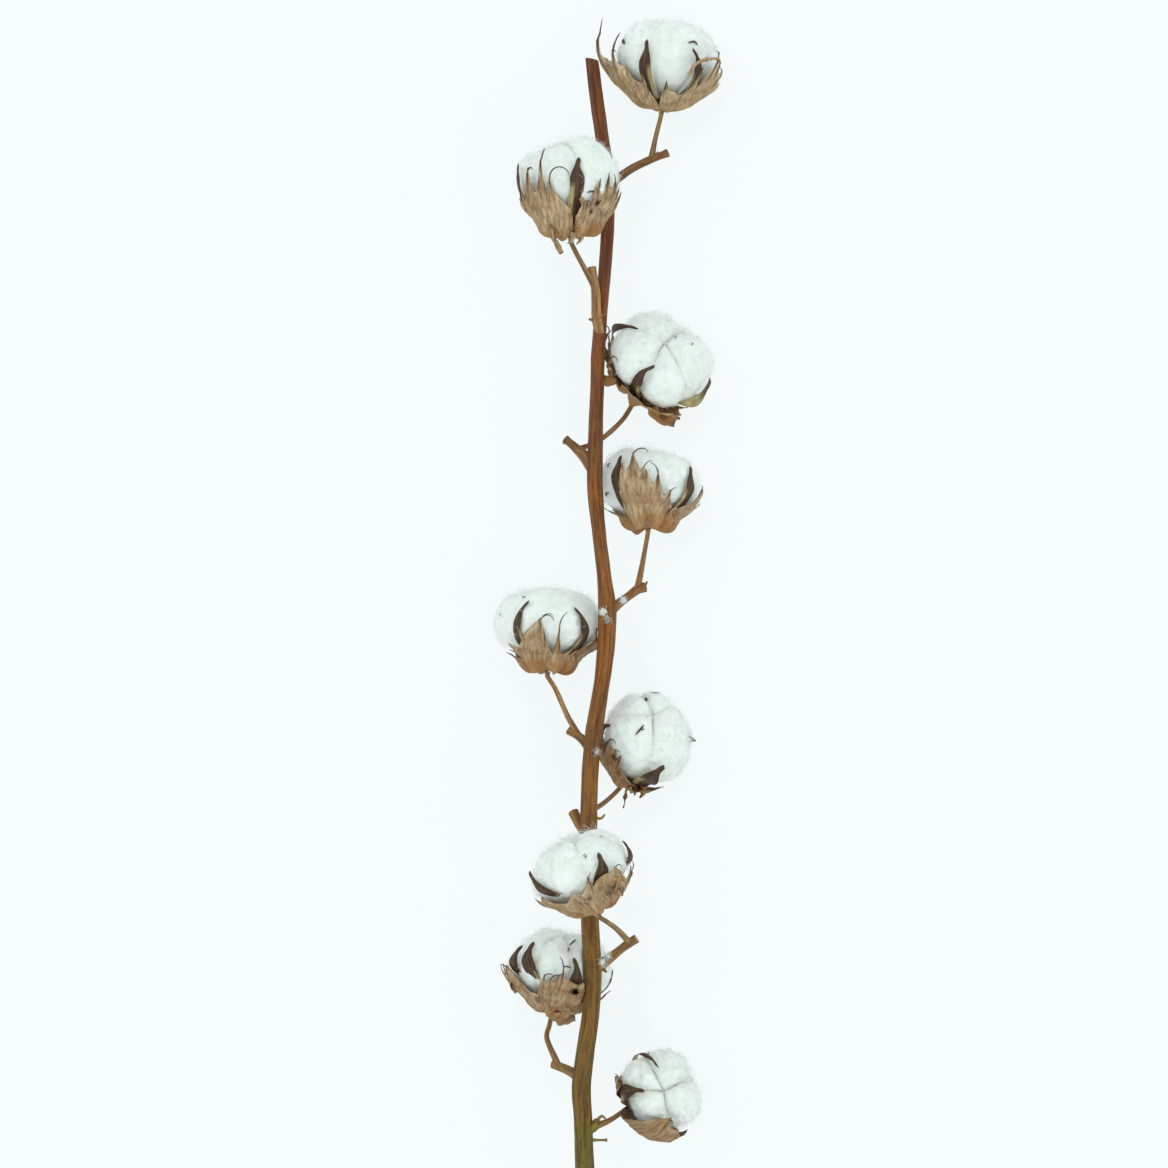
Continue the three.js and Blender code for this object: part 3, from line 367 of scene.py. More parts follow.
# grid[i, j] is the point in row i and column j round. Quads join neighbours and a fan closes each end.
def closedSkin(grid, marks=None):
    rows, around = grid.shape[:2]
    total = rows * around
    index = np.arange(total).reshape(rows, around)
    after = np.roll(index, -1, axis=1)
    quads = np.stack([index[:-1], after[:-1], after[1:], index[1:]], -1).reshape(-1, 4)
    low, high = np.full(around, total), np.full(around, total + 1)
    fans = np.vstack([np.stack([after[0], index[0], low], -1), np.stack([index[-1], after[-1], high], -1)])
    ends = lambda values: values[[0, -1]].mean(1).reshape(2, -1)
    spread = lambda values: np.concatenate([values.reshape(total, -1), ends(values)])
    return faceOut({"points": spread(grid), "quads": quads, "tris": fans,
                    "marks": {name: spread(values) for name, values in (marks or {}).items()}})


# outer[i, j] and inner[i, j] are the two faces of a thin leaf. Quads where keep is False are left out,
# and a rim joins the two faces along every edge that only one quad has.
def thinLeaf(outer, inner, keep, marks):
    rows, columns = outer.shape[:2]
    index = np.arange(rows * columns).reshape(rows, columns)
    quads = np.stack([index[:-1, :-1], index[:-1, 1:], index[1:, 1:], index[1:, :-1]], -1)[keep]
    tail, head = quads.ravel(), np.roll(quads, -1, axis=1).ravel()
    total = rows * columns
    single = ~np.isin(tail * total + head, head * total + tail)
    tail, head = tail[single], head[single]
    rim = np.stack([head, tail, tail + total, head + total], -1)
    used, quads = np.unique(np.vstack([quads, quads[:, ::-1] + total, rim]), return_inverse=True)
    both = lambda values: np.concatenate([values.reshape(total, -1)] * 2)[used]
    points = np.concatenate([outer.reshape(-1, 3), inner.reshape(-1, 3)])[used]
    return faceOut({"points": points, "quads": quads.reshape(-1, 4), "tris": np.zeros((0, 3), int),
                    "marks": {name: both(values) for name, values in marks.items()}})


# Six times the enclosed volume is the sum of a . (b x c) over the triangles. Where it is negative, the faces
# are reversed.
def faceOut(part):
    points, quads, tris = part["points"], part["quads"], part["tris"]
    points = points - points.mean(0)
    a, b, c = (points[np.vstack([tris, quads[:, :3], quads[:, [0, 2, 3]]])[:, k]] for k in range(3))
    if np.sum(a * np.cross(b, c)) < 0:
        part["quads"], part["tris"] = quads[:, ::-1], tris[:, ::-1]
    return part


# One part from several: the corner numbers of each are raised by the count of the points before it. A mark
# that a part lacks is 0 there.
def joinParts(parts):
    names = sorted({name for part in parts for name in part["marks"]})
    starts = np.cumsum([0] + [len(part["points"]) for part in parts])
    marks = {}
    for name in names:
        width = max(part["marks"][name].shape[1] for part in parts if name in part["marks"])
        values = [part["marks"].get(name, np.zeros((len(part["points"]), width))) for part in parts]
        marks[name] = np.concatenate(values)
    return {"points": np.concatenate([part["points"] for part in parts]), "marks": marks,
            "quads": np.concatenate([part["quads"] + start for part, start in zip(parts, starts)]),
            "tris": np.concatenate([part["tris"] + start for part, start in zip(parts, starts)])}


# Millimetres on the branch become metres in the frame by subtracting the middle and dividing by 1000.
def addPiece(name, parts, material, nodes):
    part = joinParts(parts)
    places = (part["points"] - branch["middle"]) * branch["metre"]
    mesh = bpy.data.meshes.new(name)
    mesh.from_pydata(places.tolist(), [], part["quads"].tolist() + part["tris"].tolist())
    for mark, values in part["marks"].items():
        kind, field = ("FLOAT_VECTOR", "vector") if values.shape[1] == 3 else ("FLOAT", "value")
        mesh.attributes.new(mark, kind, "POINT").data.foreach_set(field, values.ravel())
    mesh.polygons.foreach_set("use_smooth", np.ones(len(mesh.polygons), bool))
    mesh.materials.append(material)
    piece = bpy.data.objects.new(name, mesh)
    bpy.context.scene.collection.objects.link(piece)
    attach(piece, "root")
    if nodes:
        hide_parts(*nodes)


# A node of the given kind with its settings, its input values and its links.
def addNode(tree, kind, inputs=None, **settings):
    made = tree.nodes.new("ShaderNode" + kind)
    for key, value in settings.items():
        setattr(made, key, value)
    for key, value in (inputs or {}).items():
        if isinstance(value, bpy.types.NodeSocket):
            tree.links.new(value, made.inputs[key])
        else:
            made.inputs[key].default_value = value
    return made


# Two values multiplied.
def times(tree, first, second):
    return addNode(tree, "Math", {0: first, 1: second}, operation="MULTIPLY").outputs[0]


# A node group with the inputs (name, kind, value) and outputs (name, kind), and the sockets inside it.
def newGroup(name, inputs, outputs):
    group = bpy.data.node_groups.new(name, "ShaderNodeTree")
    for label, kind, value in inputs:
        socket = group.interface.new_socket(label, in_out="INPUT", socket_type="NodeSocket" + kind)
        if value is not None:
            socket.default_value = value
    for label, kind in outputs:
        group.interface.new_socket(label, in_out="OUTPUT", socket_type="NodeSocket" + kind)
    return group, group.nodes.new("NodeGroupInput").outputs, group.nodes.new("NodeGroupOutput").inputs


# The outputs of a node that holds the group.
def useGroup(tree, group, inputs):
    return addNode(tree, "Group", inputs, node_tree=group).outputs


# Streaks: noise squeezed along the grain, coarse and fine, added 3 to 2.
def makeStreakGroup():
    group, given, out = newGroup(
        "dryStreaks", (("Place", "Vector", None), ("Across", "Float", 1.0), ("Along", "Float", .05)),
        (("Streak", "Float"), ("Height", "Float")))
    squeeze = {"X": given["Across"], "Y": given["Across"], "Z": given["Along"]}
    across = addNode(group, "CombineXYZ", squeeze)
    place = addNode(group, "VectorMath", {0: given["Place"], 1: across.outputs[0]}, operation="MULTIPLY")
    grain = place.outputs[0]
    coarse = addNode(group, "TexNoise", {"Vector": grain, "Scale": 1.0, "Detail": 3.0, "Roughness": .6})
    fine = addNode(group, "TexNoise", {"Vector": grain, "Scale": 4.3, "Detail": 2.0, "Roughness": .7})
    mix = addNode(group, "Mix", {0: .4, 2: coarse.outputs["Fac"], 3: fine.outputs["Fac"]}, data_type="FLOAT")
    spread = addNode(group, "MapRange", {"Value": mix.outputs[0], "From Min": .36, "From Max": .64})
    group.links.new(spread.outputs[0], out["Streak"])
    group.links.new(fine.outputs["Fac"], out["Height"])
    return group


# Blotches: soft noise, stretched to the full range from 0 to 1.
def makeBlotchGroup():
    group, given, out = newGroup(
        "dryBlotches", (("Place", "Vector", None), ("Scale", "Float", 100.0), ("Low", "Float", .4),
                        ("High", "Float", .6)), (("Blotch", "Float"),))
    cells = {"Vector": given["Place"], "Scale": given["Scale"], "Detail": 4.0, "Roughness": .55}
    noise = addNode(group, "TexNoise", cells).outputs["Fac"]
    spread = addNode(group, "MapRange", {"Value": noise, "From Min": given["Low"], "From Max": given["High"]})
    group.links.new(spread.outputs[0], out["Blotch"])
    return group


# Specks: from 0 to 1 towards scattered points, within a small distance of them and only in some cells.
def makeSpeckGroup():
    group, given, out = newGroup(
        "darkSpecks", (("Place", "Vector", None), ("Scale", "Float", 400.0), ("Size", "Float", .2),
                       ("Share", "Float", .3)), (("Speck", "Float"),))
    cells = addNode(group, "TexVoronoi", {"Vector": given["Place"], "Scale": given["Scale"]})
    distance = cells.outputs["Distance"]
    near = addNode(group, "MapRange", {"Value": distance, "From Min": given["Size"], "From Max": 0.0})
    pick = addNode(group, "SeparateColor", {0: cells.outputs["Color"]})
    some = addNode(group, "Math", {0: pick.outputs[0], 1: given["Share"]}, operation="LESS_THAN")
    group.links.new(times(group, near.outputs[0], some.outputs[0]), out["Speck"])
    return group


streakGroup, blotchGroup, speckGroup = makeStreakGroup(), makeBlotchGroup(), makeSpeckGroup()
print("node groups made")


# A material with its nodes and its shader.
def newMaterial(name):
    material = bpy.data.materials.new(name)
    material.use_nodes = True
    tree = material.node_tree
    return material, tree, tree.nodes["Principled BSDF"]


# The place on the branch, in metres.
def objectPlace(tree):
    return addNode(tree, "TexCoord").outputs["Object"]


# The mark that a mesh carries under this name: a number, or a place where part is Vector.
def readMark(tree, name, part="Fac"):
    return addNode(tree, "Attribute", attribute_name=name).outputs[part]


# A colour in three numbers with the fourth, 1, that a socket needs. A socket stays as it is.
def opaque(colour):
    return (*colour, 1) if isinstance(colour, tuple) else colour


# low where share is 0 and high where it is 1. With MULTIPLY, low x high where share is 1.
def blend(tree, share, low, high, mode="MIX"):
    sides = {0: share, 6: opaque(low), 7: opaque(high)}
    return addNode(tree, "Mix", sides, data_type="RGBA", blend_type=mode).outputs[2]


# low x tint, all over.
def tinted(tree, low, tint):
    return blend(tree, 1.0, low, tint, "MULTIPLY")


# Colours in place of values from 0 to 1, blended between the stops (value, colour).
def ramp(tree, value, stops):
    made = addNode(tree, "ValToRGB", {0: value})
    elements = made.color_ramp.elements
    for place, colour in stops[1:-1]:
        elements.new(place).color = opaque(colour)
    elements[0].position, elements[0].color = stops[0][0], opaque(stops[0][1])
    elements[-1].position, elements[-1].color = stops[-1][0], opaque(stops[-1][1])
    return made.outputs[0]


# Bumps of the given depth in metres where height goes from 0 to 1.
def bumpOf(tree, shader, height, distance, strength=1.0):
    bump = addNode(tree, "Bump", {"Height": height, "Distance": distance, "Strength": strength})
    tree.links.new(bump.outputs[0], shader.inputs["Normal"])


bark = {
    # colours along the stem from the cut end to the tip, and where these ends are, in metres
    "along": ((0, (.084, .066, .020)), (.2, (.130, .077, .017)), (.36, (.144, .069, .018)),
              (.52, (.160, .071, .020)), (.63, (.142, .060, .018)), (.76, (.116, .042, .015)),
              (1, (.110, .040, .017))),
    "ends": (-.38, .38),
    "streaks": ((.18, (.80, .52, .50)), (.45, (1, 1, 1)), (.74, (1.75, 1.55, 1.15))),  # from red to gold
    "patch": (1.35, 1.18, .95),  # the tint of golden patches
    "moss": (.88, 1.12, .70), "mossEnd": .55,  # a tint, and the share of the stem that moss reaches
    "stalk": (.230, .163, .084), "speck": (.045, .026, .014),
    "cutRim": (.30, .21, .12), "cutPith": (.62, .52, .38),
    "roughness": (.38, .62), "shine": .22, "bump": .0006,
}


# Bark: the colour along the stem, paler on stalks, x streaks, golden patches and moss, then specks and the
# sawn ends.
def makeBark():
    material, tree, shader = newMaterial("bark")
    place = objectPlace(tree)
    grain = readMark(tree, "grainPlace", "Vector")
    height = addNode(tree, "SeparateXYZ", {0: place}).outputs["Y"]
    low, high = bark["ends"]
    run = addNode(tree, "MapRange", {"Value": height, "From Min": low, "From Max": high}).outputs[0]
    colour = ramp(tree, run, bark["along"])
    colour = blend(tree, readMark(tree, "pale"), colour, bark["stalk"])
    streaks = useGroup(tree, streakGroup, {"Place": grain, "Across": .55, "Along": .03})
    colour = tinted(tree, colour, ramp(tree, streaks["Streak"], bark["streaks"]))
    patches = useGroup(tree, blotchGroup, {"Place": place, "Scale": 38.0, "Low": .42, "High": .70})
    colour = blend(tree, patches["Blotch"], colour, tinted(tree, colour, bark["patch"]))
    greens = useGroup(tree, blotchGroup, {"Place": place, "Scale": 21.0, "Low": .50, "High": .64})
    lower = addNode(tree, "MapRange", {"Value": run, "From Min": bark["mossEnd"], "From Max": .0}).outputs[0]
    mossy = times(tree, greens["Blotch"], lower)
    colour = blend(tree, mossy, colour, tinted(tree, colour, bark["moss"]))
    specks = useGroup(tree, speckGroup, {"Place": place, "Scale": 330.0, "Size": .28, "Share": .25})
    colour = blend(tree, specks["Speck"], colour, bark["speck"])
    face = blend(tree, readMark(tree, "core"), bark["cutRim"], bark["cutPith"])
    colour = blend(tree, readMark(tree, "cut"), colour, face)
    tree.links.new(colour, shader.inputs["Base Color"])
    smooth, rough = bark["roughness"]
    roughness = addNode(tree, "MapRange", {"Value": streaks["Height"], "To Min": smooth, "To Max": rough})
    tree.links.new(roughness.outputs[0], shader.inputs["Roughness"])
    shader.inputs["Specular IOR Level"].default_value = bark["shine"]
    bumpOf(tree, shader, streaks["Height"], bark["bump"])
    return material


lint = {
    "rows": 84, "columns": 150,
    "lumps": ((14, 1.5), (6, .75), (2.7, .32)),  # size and depth of each layer of puffs
    # the third tint is painted shade, darker and yellower, for the creases between locks
    "bright": (.82, .883, .845), "shade": (.785, .848, .80), "creaseShadeTint": (.66, .67, .56),
    "roughness": 1.0, "shine": .1, "sheen": 1.0, "bump": .0006, "bumpShare": .3,
    "wisps": 1700, "wispLength": (3.0, 8.5), "wispLift": (.5, 2.4), "wispRadius": (.045, .085),
}


# Lint: two whites in blotches, with painted shade, darker and yellower, in the creases between locks, fine
# fibres as a bump and a sheen at its edges.
def makeLint():
    material, tree, shader = newMaterial("lint")
    place = objectPlace(tree)
    blotches = useGroup(tree, blotchGroup, {"Place": place, "Scale": 120.0, "Low": .35, "High": .6})
    colour = blend(tree, blotches["Blotch"], lint["shade"], lint["bright"])
    # Painted shade in the creases and at the junction of the locks
    colour = blend(tree, readMark(tree, "hollow"), colour, lint["creaseShadeTint"])
    tree.links.new(colour, shader.inputs["Base Color"])
    warp = addNode(tree, "TexNoise", {"Vector": place, "Scale": 160.0, "Detail": 2.0}).outputs["Color"]
    bent = addNode(tree, "Mix", {0: .035, 4: place, 5: warp}, data_type="VECTOR").outputs[1]
    fibres = addNode(tree, "TexNoise", {
        "Vector": bent, "Scale": 900.0, "Detail": 5.0, "Roughness": .75, "Distortion": 1.2})
    bumpOf(tree, shader, fibres.outputs["Fac"], lint["bump"], lint["bumpShare"])
    shader.inputs["Roughness"].default_value = lint["roughness"]
    shader.inputs["Specular IOR Level"].default_value = lint["shine"]
    shader.inputs["Sheen Weight"].default_value = lint["sheen"]
    return material


burr = {
    "rows": 34, "across": 11, "thickness": .7, "root": 172,  # the polar angle where the valves start
    "dark": (.037, .019, .0085), "brown": (.098, .050, .021), "keel": (.155, .095, .046),
    "margin": (.66, .56, .32), "inside": (.42, .33, .15),
    "insideStreaks": ((0, (.7, .66, .6)), (1, (1.1, 1.1, 1.1))),
    "roughness": .5, "shine": .35, "bump": .0008,
}


# Boll case: dark and brown streaks with a light keel outside, and blotched, streaked straw inside and at the
# margin.
def makeBurr():
    material, tree, shader = newMaterial("burr")
    place = objectPlace(tree)
    grain = readMark(tree, "grainPlace", "Vector")
    streaks = useGroup(tree, streakGroup, {"Place": grain, "Across": .9, "Along": .1})
    colour = blend(tree, streaks["Streak"], burr["dark"], burr["brown"])
    ridge = times(tree, readMark(tree, "keel"), streaks["Streak"])
    colour = blend(tree, ridge, colour, burr["keel"])
    blotches = useGroup(tree, blotchGroup, {"Place": place, "Scale": 180.0, "Low": .4, "High": .62})
    pale = blend(tree, blotches["Blotch"], burr["inside"], burr["margin"])
    pale = tinted(tree, pale, ramp(tree, streaks["Streak"], burr["insideStreaks"]))
    colour = blend(tree, readMark(tree, "margin"), colour, pale)
    tree.links.new(colour, shader.inputs["Base Color"])
    shader.inputs["Roughness"].default_value = burr["roughness"]
    shader.inputs["Specular IOR Level"].default_value = burr["shine"]
    bumpOf(tree, shader, streaks["Height"], burr["bump"])
    return material


bract = {
    "rows": 30, "thickness": .4, "start": 176,  # the polar angle where the bracts start
    "climb": 102,  # degrees from there to the tips of a bract underneath whose length is 1
    "climbStep": 5.5, "turnStep": 2.4,  # degrees of polar angle and of azimuth in a step along an edge
    "floorGap": .3, "woodGap": .7,
    "tan": (.60, .455, .28), "gold": (.49, .325, .165), "brown": (.26, .15, .07), "aged": (.50, .36, .24),
    # The crease colour is painted shade for the valleys of pleats and crumples
    "orange": (.42, .20, .066), "crease": (.25, .15, .075),
    # The next colour makes edges paler and paints highlights on the ridges of crumples
    "crest": (.74, .62, .44), "rim": (.070, .038, .022),
    "streaks": ((0, (.52, .44, .35)), (.38, (.89, .87, .83)), (.72, (1.14, 1.13, 1.11)),
                (1, (1.38, 1.40, 1.43))),
    "speck": (.07, .04, .022), "roughness": .75, "shine": .25, "bump": .001,
}


# Bract: gold and tan blotches with brown stains x streaks, then painted shade in the creases, pale edges and
# painted highlights on the ridges, age, an orange foot that is partly painted light through the lobes, dark
# teeth and specks, each where its mark says.
def makeBract():
    material, tree, shader = newMaterial("bract")
    place = objectPlace(tree)
    grain = readMark(tree, "grainPlace", "Vector")
    broad = useGroup(tree, blotchGroup, {"Place": place, "Scale": 70.0, "Low": .40, "High": .62})
    colour = blend(tree, broad["Blotch"], bract["gold"], bract["tan"])
    stains = useGroup(tree, blotchGroup, {"Place": place, "Scale": 150.0, "Low": .54, "High": .68})
    colour = blend(tree, times(tree, stains["Blotch"], .6), colour, bract["brown"])
    streaks = useGroup(tree, streakGroup, {"Place": grain, "Across": .85, "Along": .035})
    colour = tinted(tree, colour, ramp(tree, streaks["Streak"], bract["streaks"]))
    # Painted shade darkens the valleys of pleats and crumples
    paintedFoldShading = addNode(tree, "MapRange", {
        "Value": readMark(tree, "pleat"), "From Min": .28, "From Max": .95, "To Max": .8})
    colour = blend(tree, paintedFoldShading.outputs[0], colour, bract["crease"])
    # Pale edges, and painted highlights on the ridges of crumples
    colour = blend(tree, readMark(tree, "crest"), colour, bract["crest"])
    colour = blend(tree, readMark(tree, "age"), colour, tinted(tree, colour, bract["aged"]))
    # Orange at the foot: partly painted light shining warm through the hanging lobes, partly the bract's own
    # orange
    colour = blend(tree, readMark(tree, "foot"), colour, bract["orange"])
    colour = blend(tree, readMark(tree, "rimDark"), colour, bract["rim"])
    specks = useGroup(tree, speckGroup, {"Place": place, "Scale": 260.0, "Size": .22, "Share": .22})
    colour = blend(tree, specks["Speck"], colour, bract["speck"])
    tree.links.new(colour, shader.inputs["Base Color"])
    shader.inputs["Roughness"].default_value = bract["roughness"]
    shader.inputs["Specular IOR Level"].default_value = bract["shine"]
    bumpOf(tree, shader, streaks["Height"], bract["bump"])
    return material


barkMaterial, lintMaterial, burrMaterial, bractMaterial = makeBark(), makeLint(), makeBurr(), makeBract()
print("materials made")


# A tube along a route: middle + r (cos a . across + sin a . side), with r raised by ridges that run along the
# grain. Rings that grow narrower close a sawn end.
def woodTube(route, wood, pale, seed):
    line, run = followRoute(route, wood["spacing"])
    share = np.ones(len(line))
    for end, cut in zip((0, -1), wood["cuts"]):
        if cut:
            where = 0 if end == 0 else len(line)
            line = np.insert(line, where, np.repeat(line[[end]], len(cutRings), axis=0), axis=0)
            run = np.insert(run, where, np.repeat(run[end], len(cutRings)))
            share = np.insert(share, where, cutRings if end == 0 else cutRings[::-1])
    keepers = share == 1
    directions = acrossLine(line[keepers, :3])
    first = len(cutRings) if wood["cuts"][0] else 0
    pick = np.clip(np.arange(len(line)) - first, 0, keepers.sum() - 1)
    along, across, side = (d[pick][:, None] for d in directions)
    turn = np.arange(wood["sides"]) * 2 * np.pi / wood["sides"]
    radius = line[:, 3:4] * np.ones(wood["sides"])
    grain = np.stack([radius * np.cos(turn), radius * np.sin(turn), run[:, None] + 0 * radius], -1)
    ridges = wood["ridge"] * softNoise(grain * (1, 1, .07), 1.1, seed)
    radius = radius + ridges + wood["lump"] * softNoise(grain * (1, 1, .5), 4.5, seed + 3)
    radius = radius * share[:, None]
    ring = np.cos(turn)[:, None] * across + np.sin(turn)[:, None] * side
    grid = line[:, None, :3] + radius[..., None] * ring
    if "endSlant" in wood:
        nearEnd = np.clip(1 - np.minimum(run, run[-1] - run) / wood["slantReach"], 0, 1)[:, None]
        grid = grid + (wood["endSlant"] * nearEnd * radius * np.sin(turn))[..., None] * along
    grain = np.stack([radius * np.cos(turn), radius * np.sin(turn), run[:, None] + 0 * radius], -1)
    cut = (share < 1)[:, None] * np.ones(wood["sides"])
    core = np.clip(1 - share, 0, 1)[:, None] * np.ones(wood["sides"])
    marks = {"grainPlace": grain + seed * 31.0, "cut": cut, "core": core, "pale": pale + 0 * cut}
    return closedSkin(grid, marks)


# A boll's axis from its lean and tilt, the direction of its upper side square to it, and their cross product.
# The heart is the middle of the lint, and the stalk's route ends in a straight stretch along the axis.
def bollFrame(boll):
    lean, tilt = np.radians([boll["lean"], boll["tilt"]])
    axis = np.array([np.sin(lean) * np.cos(tilt), np.cos(lean) * np.cos(tilt), np.sin(tilt)])
    front = unit(np.array([0, 0, 1]) - axis[2] * axis)
    half = (boll["length"] - branch["lintStart"]) / 2
    foot = np.array(boll["base"], float)
    straight, radius, gap = bollStalks["straight"], bollStalks["radius"], bollStalks["gap"]
    ends = ((*(foot - straight * axis), radius), (*(foot - gap * axis), radius + bollStalks["endSwell"]))
    return {"axis": axis, "front": front, "right": np.cross(axis, front), "half": half,
            "radius": boll["width"] / 2, "foot": foot, "heart": foot + axis * (branch["lintStart"] + half),
            "stalkRoute": (*boll["stalk"], *ends)}


# One piece of wood from the tubes along its routes, each with a seed and a paleness of its own.
def addWood(name, wood, routes):
    pales = np.broadcast_to(wood["pale"], len(routes))
    tubes = [woodTube(route, wood, pales[i], wood["seed"] + i) for i, route in enumerate(routes)]
    addPiece(name, tubes, barkMaterial, ["woody_stem"])


for boll in bolls:
    boll.update(bollFrame(boll))
stalkRoutes = [boll["stalkRoute"] for boll in bolls]
woodRoutes = [mainStem["route"], *sideTwigs["routes"], *stalkRoutes]

addWood("mainStem", mainStem, [mainStem["route"]])
addWood("sideTwigs", sideTwigs, sideTwigs["routes"])
addWood("bollStalks", bollStalks, stalkRoutes)
addWood("thorns", thorns, thorns["routes"])
print("wood made")


# front sin p cos a + right sin p sin a + axis cos p, for polar angle p and azimuth a.
def aim(boll, polar, azimuth):
    p, a = np.radians(polar)[..., None], np.radians(azimuth)[..., None]
    across = boll["front"] * np.sin(p) * np.cos(a) + boll["right"] * np.sin(p) * np.sin(a)
    return across + boll["axis"] * np.cos(p)


# Radius times half length over the hypotenuse of (half sin p, radius cos p), drawn in by the taper around
# 134 degrees.
def spheroid(boll, polar):
    p = np.radians(polar)
    plain = boll["radius"] * boll["half"] / np.hypot(boll["half"] * np.sin(p), boll["radius"] * np.cos(p))
    return plain * (1 - boll["taper"] * np.exp(-((polar - 134) / 20) ** 2))


# Depth of the grooves between locks as a share of the spheroid: .04 at the base, with .12 of the crease more
# at the side and .20 of it more at the tip.
def grooveDepth(boll, polar):
    return .04 + boll["crease"] * (.12 * (1 - ease(polar, 132, 172)) + .08 * (1 - ease(polar, 40, 80)))


# Stretches of wood near a boll, without the straight end of its own stalk: starts, ends and radii.
def woodNear(boll):
    stretches = []
    for route in woodRoutes:
        keys = np.array(route if route is not boll["stalkRoute"] else route[:-2], float)
        stretches.append(np.hstack([keys[:-1], keys[1:]]))
    near = np.vstack(stretches)
    distance = roomToWood(boll["heart"][None], near)
    return near[distance[0] < 1.6 * boll["width"]]


# How far each point is from the wood of each stretch: the distance to the foot of the perpendicular, held
# between the stretch's ends, less the radius there.
def roomToWood(points, stretches):
    start, span = stretches[:, :3], stretches[:, 4:7] - stretches[:, :3]
    t = np.clip(np.einsum("nmk,mk->nm", points[:, None] - start, span) / np.sum(span ** 2, axis=1), 0, 1)
    foot = start + t[..., None] * span
    radius = stretches[:, 3] + t * (stretches[:, 7] - stretches[:, 3])
    return np.linalg.norm(points[:, None] - foot, axis=-1) - radius


# heart + reach x direction, where the reach is cut at the floor and then shortened step by step while the
# point is too near the wood, down to a third of it.
def settle(boll, direction, wanted, floorGap, woodGap, step=.25):
    down = np.minimum(direction[..., 2], -1e-9)
    reach = np.minimum(wanted, (boll["heart"][2] - floorGap) / -down).ravel()
    rays, least = direction.reshape(-1, 3), wanted.ravel() / 3
    gap = np.broadcast_to(woodGap, wanted.shape).ravel()
    tight = np.arange(len(reach)) if len(boll["wood"]) else np.arange(0)
    while len(tight):
        room = roomToWood(boll["heart"] + rays[tight] * reach[tight, None], boll["wood"])
        tight = tight[(room.min(1) < gap[tight]) & (reach[tight] > least[tight])]
        reach[tight] -= step
    return (boll["heart"] + rays * reach[:, None]).reshape(direction.shape)


# Polar angle and azimuth about the junction of the partings: those of the ray less the junction's own ray,
# which fades out towards the side.
def aboutJunction(boll, polar, azimuth):
    p, a = np.radians(polar), np.radians(azimuth)
    away, turn = np.radians(boll["junction"])
    fade = np.sin(away) * (1 - ease(polar, 30, 100))
    x, y = np.sin(p) * np.cos(a) - fade * np.cos(turn), np.sin(p) * np.sin(a) - fade * np.sin(turn)
    return np.degrees(np.arctan2(np.hypot(x, y), np.cos(p))), np.degrees(np.arctan2(y, x))


# For each azimuth, the lock's size and how far it bulges: 1 - share (1 - sin(pi t) to the power of .42),
# where t is the way through the lock and share that of the nearer groove.
def lockShape(boll, azimuth):
    starts = np.array([valve[0] for valve in boll["valves"]], float)
    edges = np.append(starts - starts[0], 360)
    angle = (azimuth - starts[0]) % 360
    number = np.clip(np.searchsorted(edges, angle, side="right") - 1, 0, len(starts) - 1)
    t = (angle - edges[number]) / (edges[number + 1] - edges[number])
    size = 1 + (np.array(boll["locks"])[number] - 1) * ease(np.minimum(t, 1 - t), 0, .1)
    grooves = np.array(boll.get("grooves", [1] * len(starts)))
    share = np.where(t < .5, grooves[number], grooves[(number + 1) % len(starts)])
    return size, 1 - share * (1 - np.sin(np.pi * np.clip(t, 0, 1)) ** .42)


# spheroid x size x hollow x shoulder x (1 - groove (1 - bulge)), plus rise x exp(-(angle / spread)2) at each
# swell and three layers of noise for the puffs.
def lintPoints(boll, polar, azimuth, seed):
    # The grooves swing to and fro, so that none is a plain meridian
    swing = 5 * np.sin(np.radians(polar * 2.2 + seed * 40)) * ease(polar, 10, 50) * (1 - ease(polar, 90, 130))
    apart, around = aboutJunction(boll, polar, azimuth)
    size, bulge = lockShape(boll, around + swing)
    hollow = 1 - .15 * boll["crease"] * (1 - ease(apart, 3, 34))
    shoulder = 1 + boll["shoulder"] * np.exp(-((polar - 52) / 20) ** 2)
    shoulder = shoulder - boll["flat"] * np.exp(-(polar / 34) ** 2)
    wanted = spheroid(boll, polar) * size * hollow * shoulder * (1 - grooveDepth(boll, apart) * (1 - bulge))
    rays = aim(boll, polar, azimuth)
    for place, swellPolar, rise, spread in boll.get("swells", ()):
        away = np.degrees(np.arccos(np.clip(rays @ aim(boll, np.array(swellPolar), np.array(place)), -1, 1)))
        wanted = wanted + rise * np.exp(-(away / spread) ** 2)
    spots = boll["heart"] + rays * wanted[..., None]
    openShare = 1 - .65 * ease(polar, 104, 128)
    for number, (cell, depth) in enumerate(lint["lumps"]):
        puff = softNoise(spots, cell, seed + number)
        wanted = wanted + openShare * depth * (1 - 2 * np.abs(puff) if number == 1 else puff)
    covered = ease(polar, 106, 116)
    floorGap = .15 + 1.85 * covered.max(-1, keepdims=True) * (covered > .5)
    points = settle(boll, rays, wanted, floorGap, .5 + 1.9 * covered)
    # How far a point lies in a groove or near the junction: there the lint gets painted shade
    deep = (1 - bulge) ** 1.5 * .7 * (1 - .7 * ease(apart, 30, 85)) + .35 * (1 - ease(apart, 0, 18))
    return points, np.clip(boll["crease"] * deep, 0, 1)


# The lint of one boll: its points on an even grid of polar angle and azimuth, with a mark for the painted
# shade in its creases.
def lintPart(boll, seed):
    polar = np.linspace(0, 180, lint["rows"] + 2)[1:-1, None] + np.zeros(lint["columns"])
    azimuth = np.linspace(0, 360, lint["columns"], endpoint=False)[None] + 0 * polar
    points, deep = lintPoints(boll, polar, azimuth, seed)
    return closedSkin(points, {"hollow": deep})


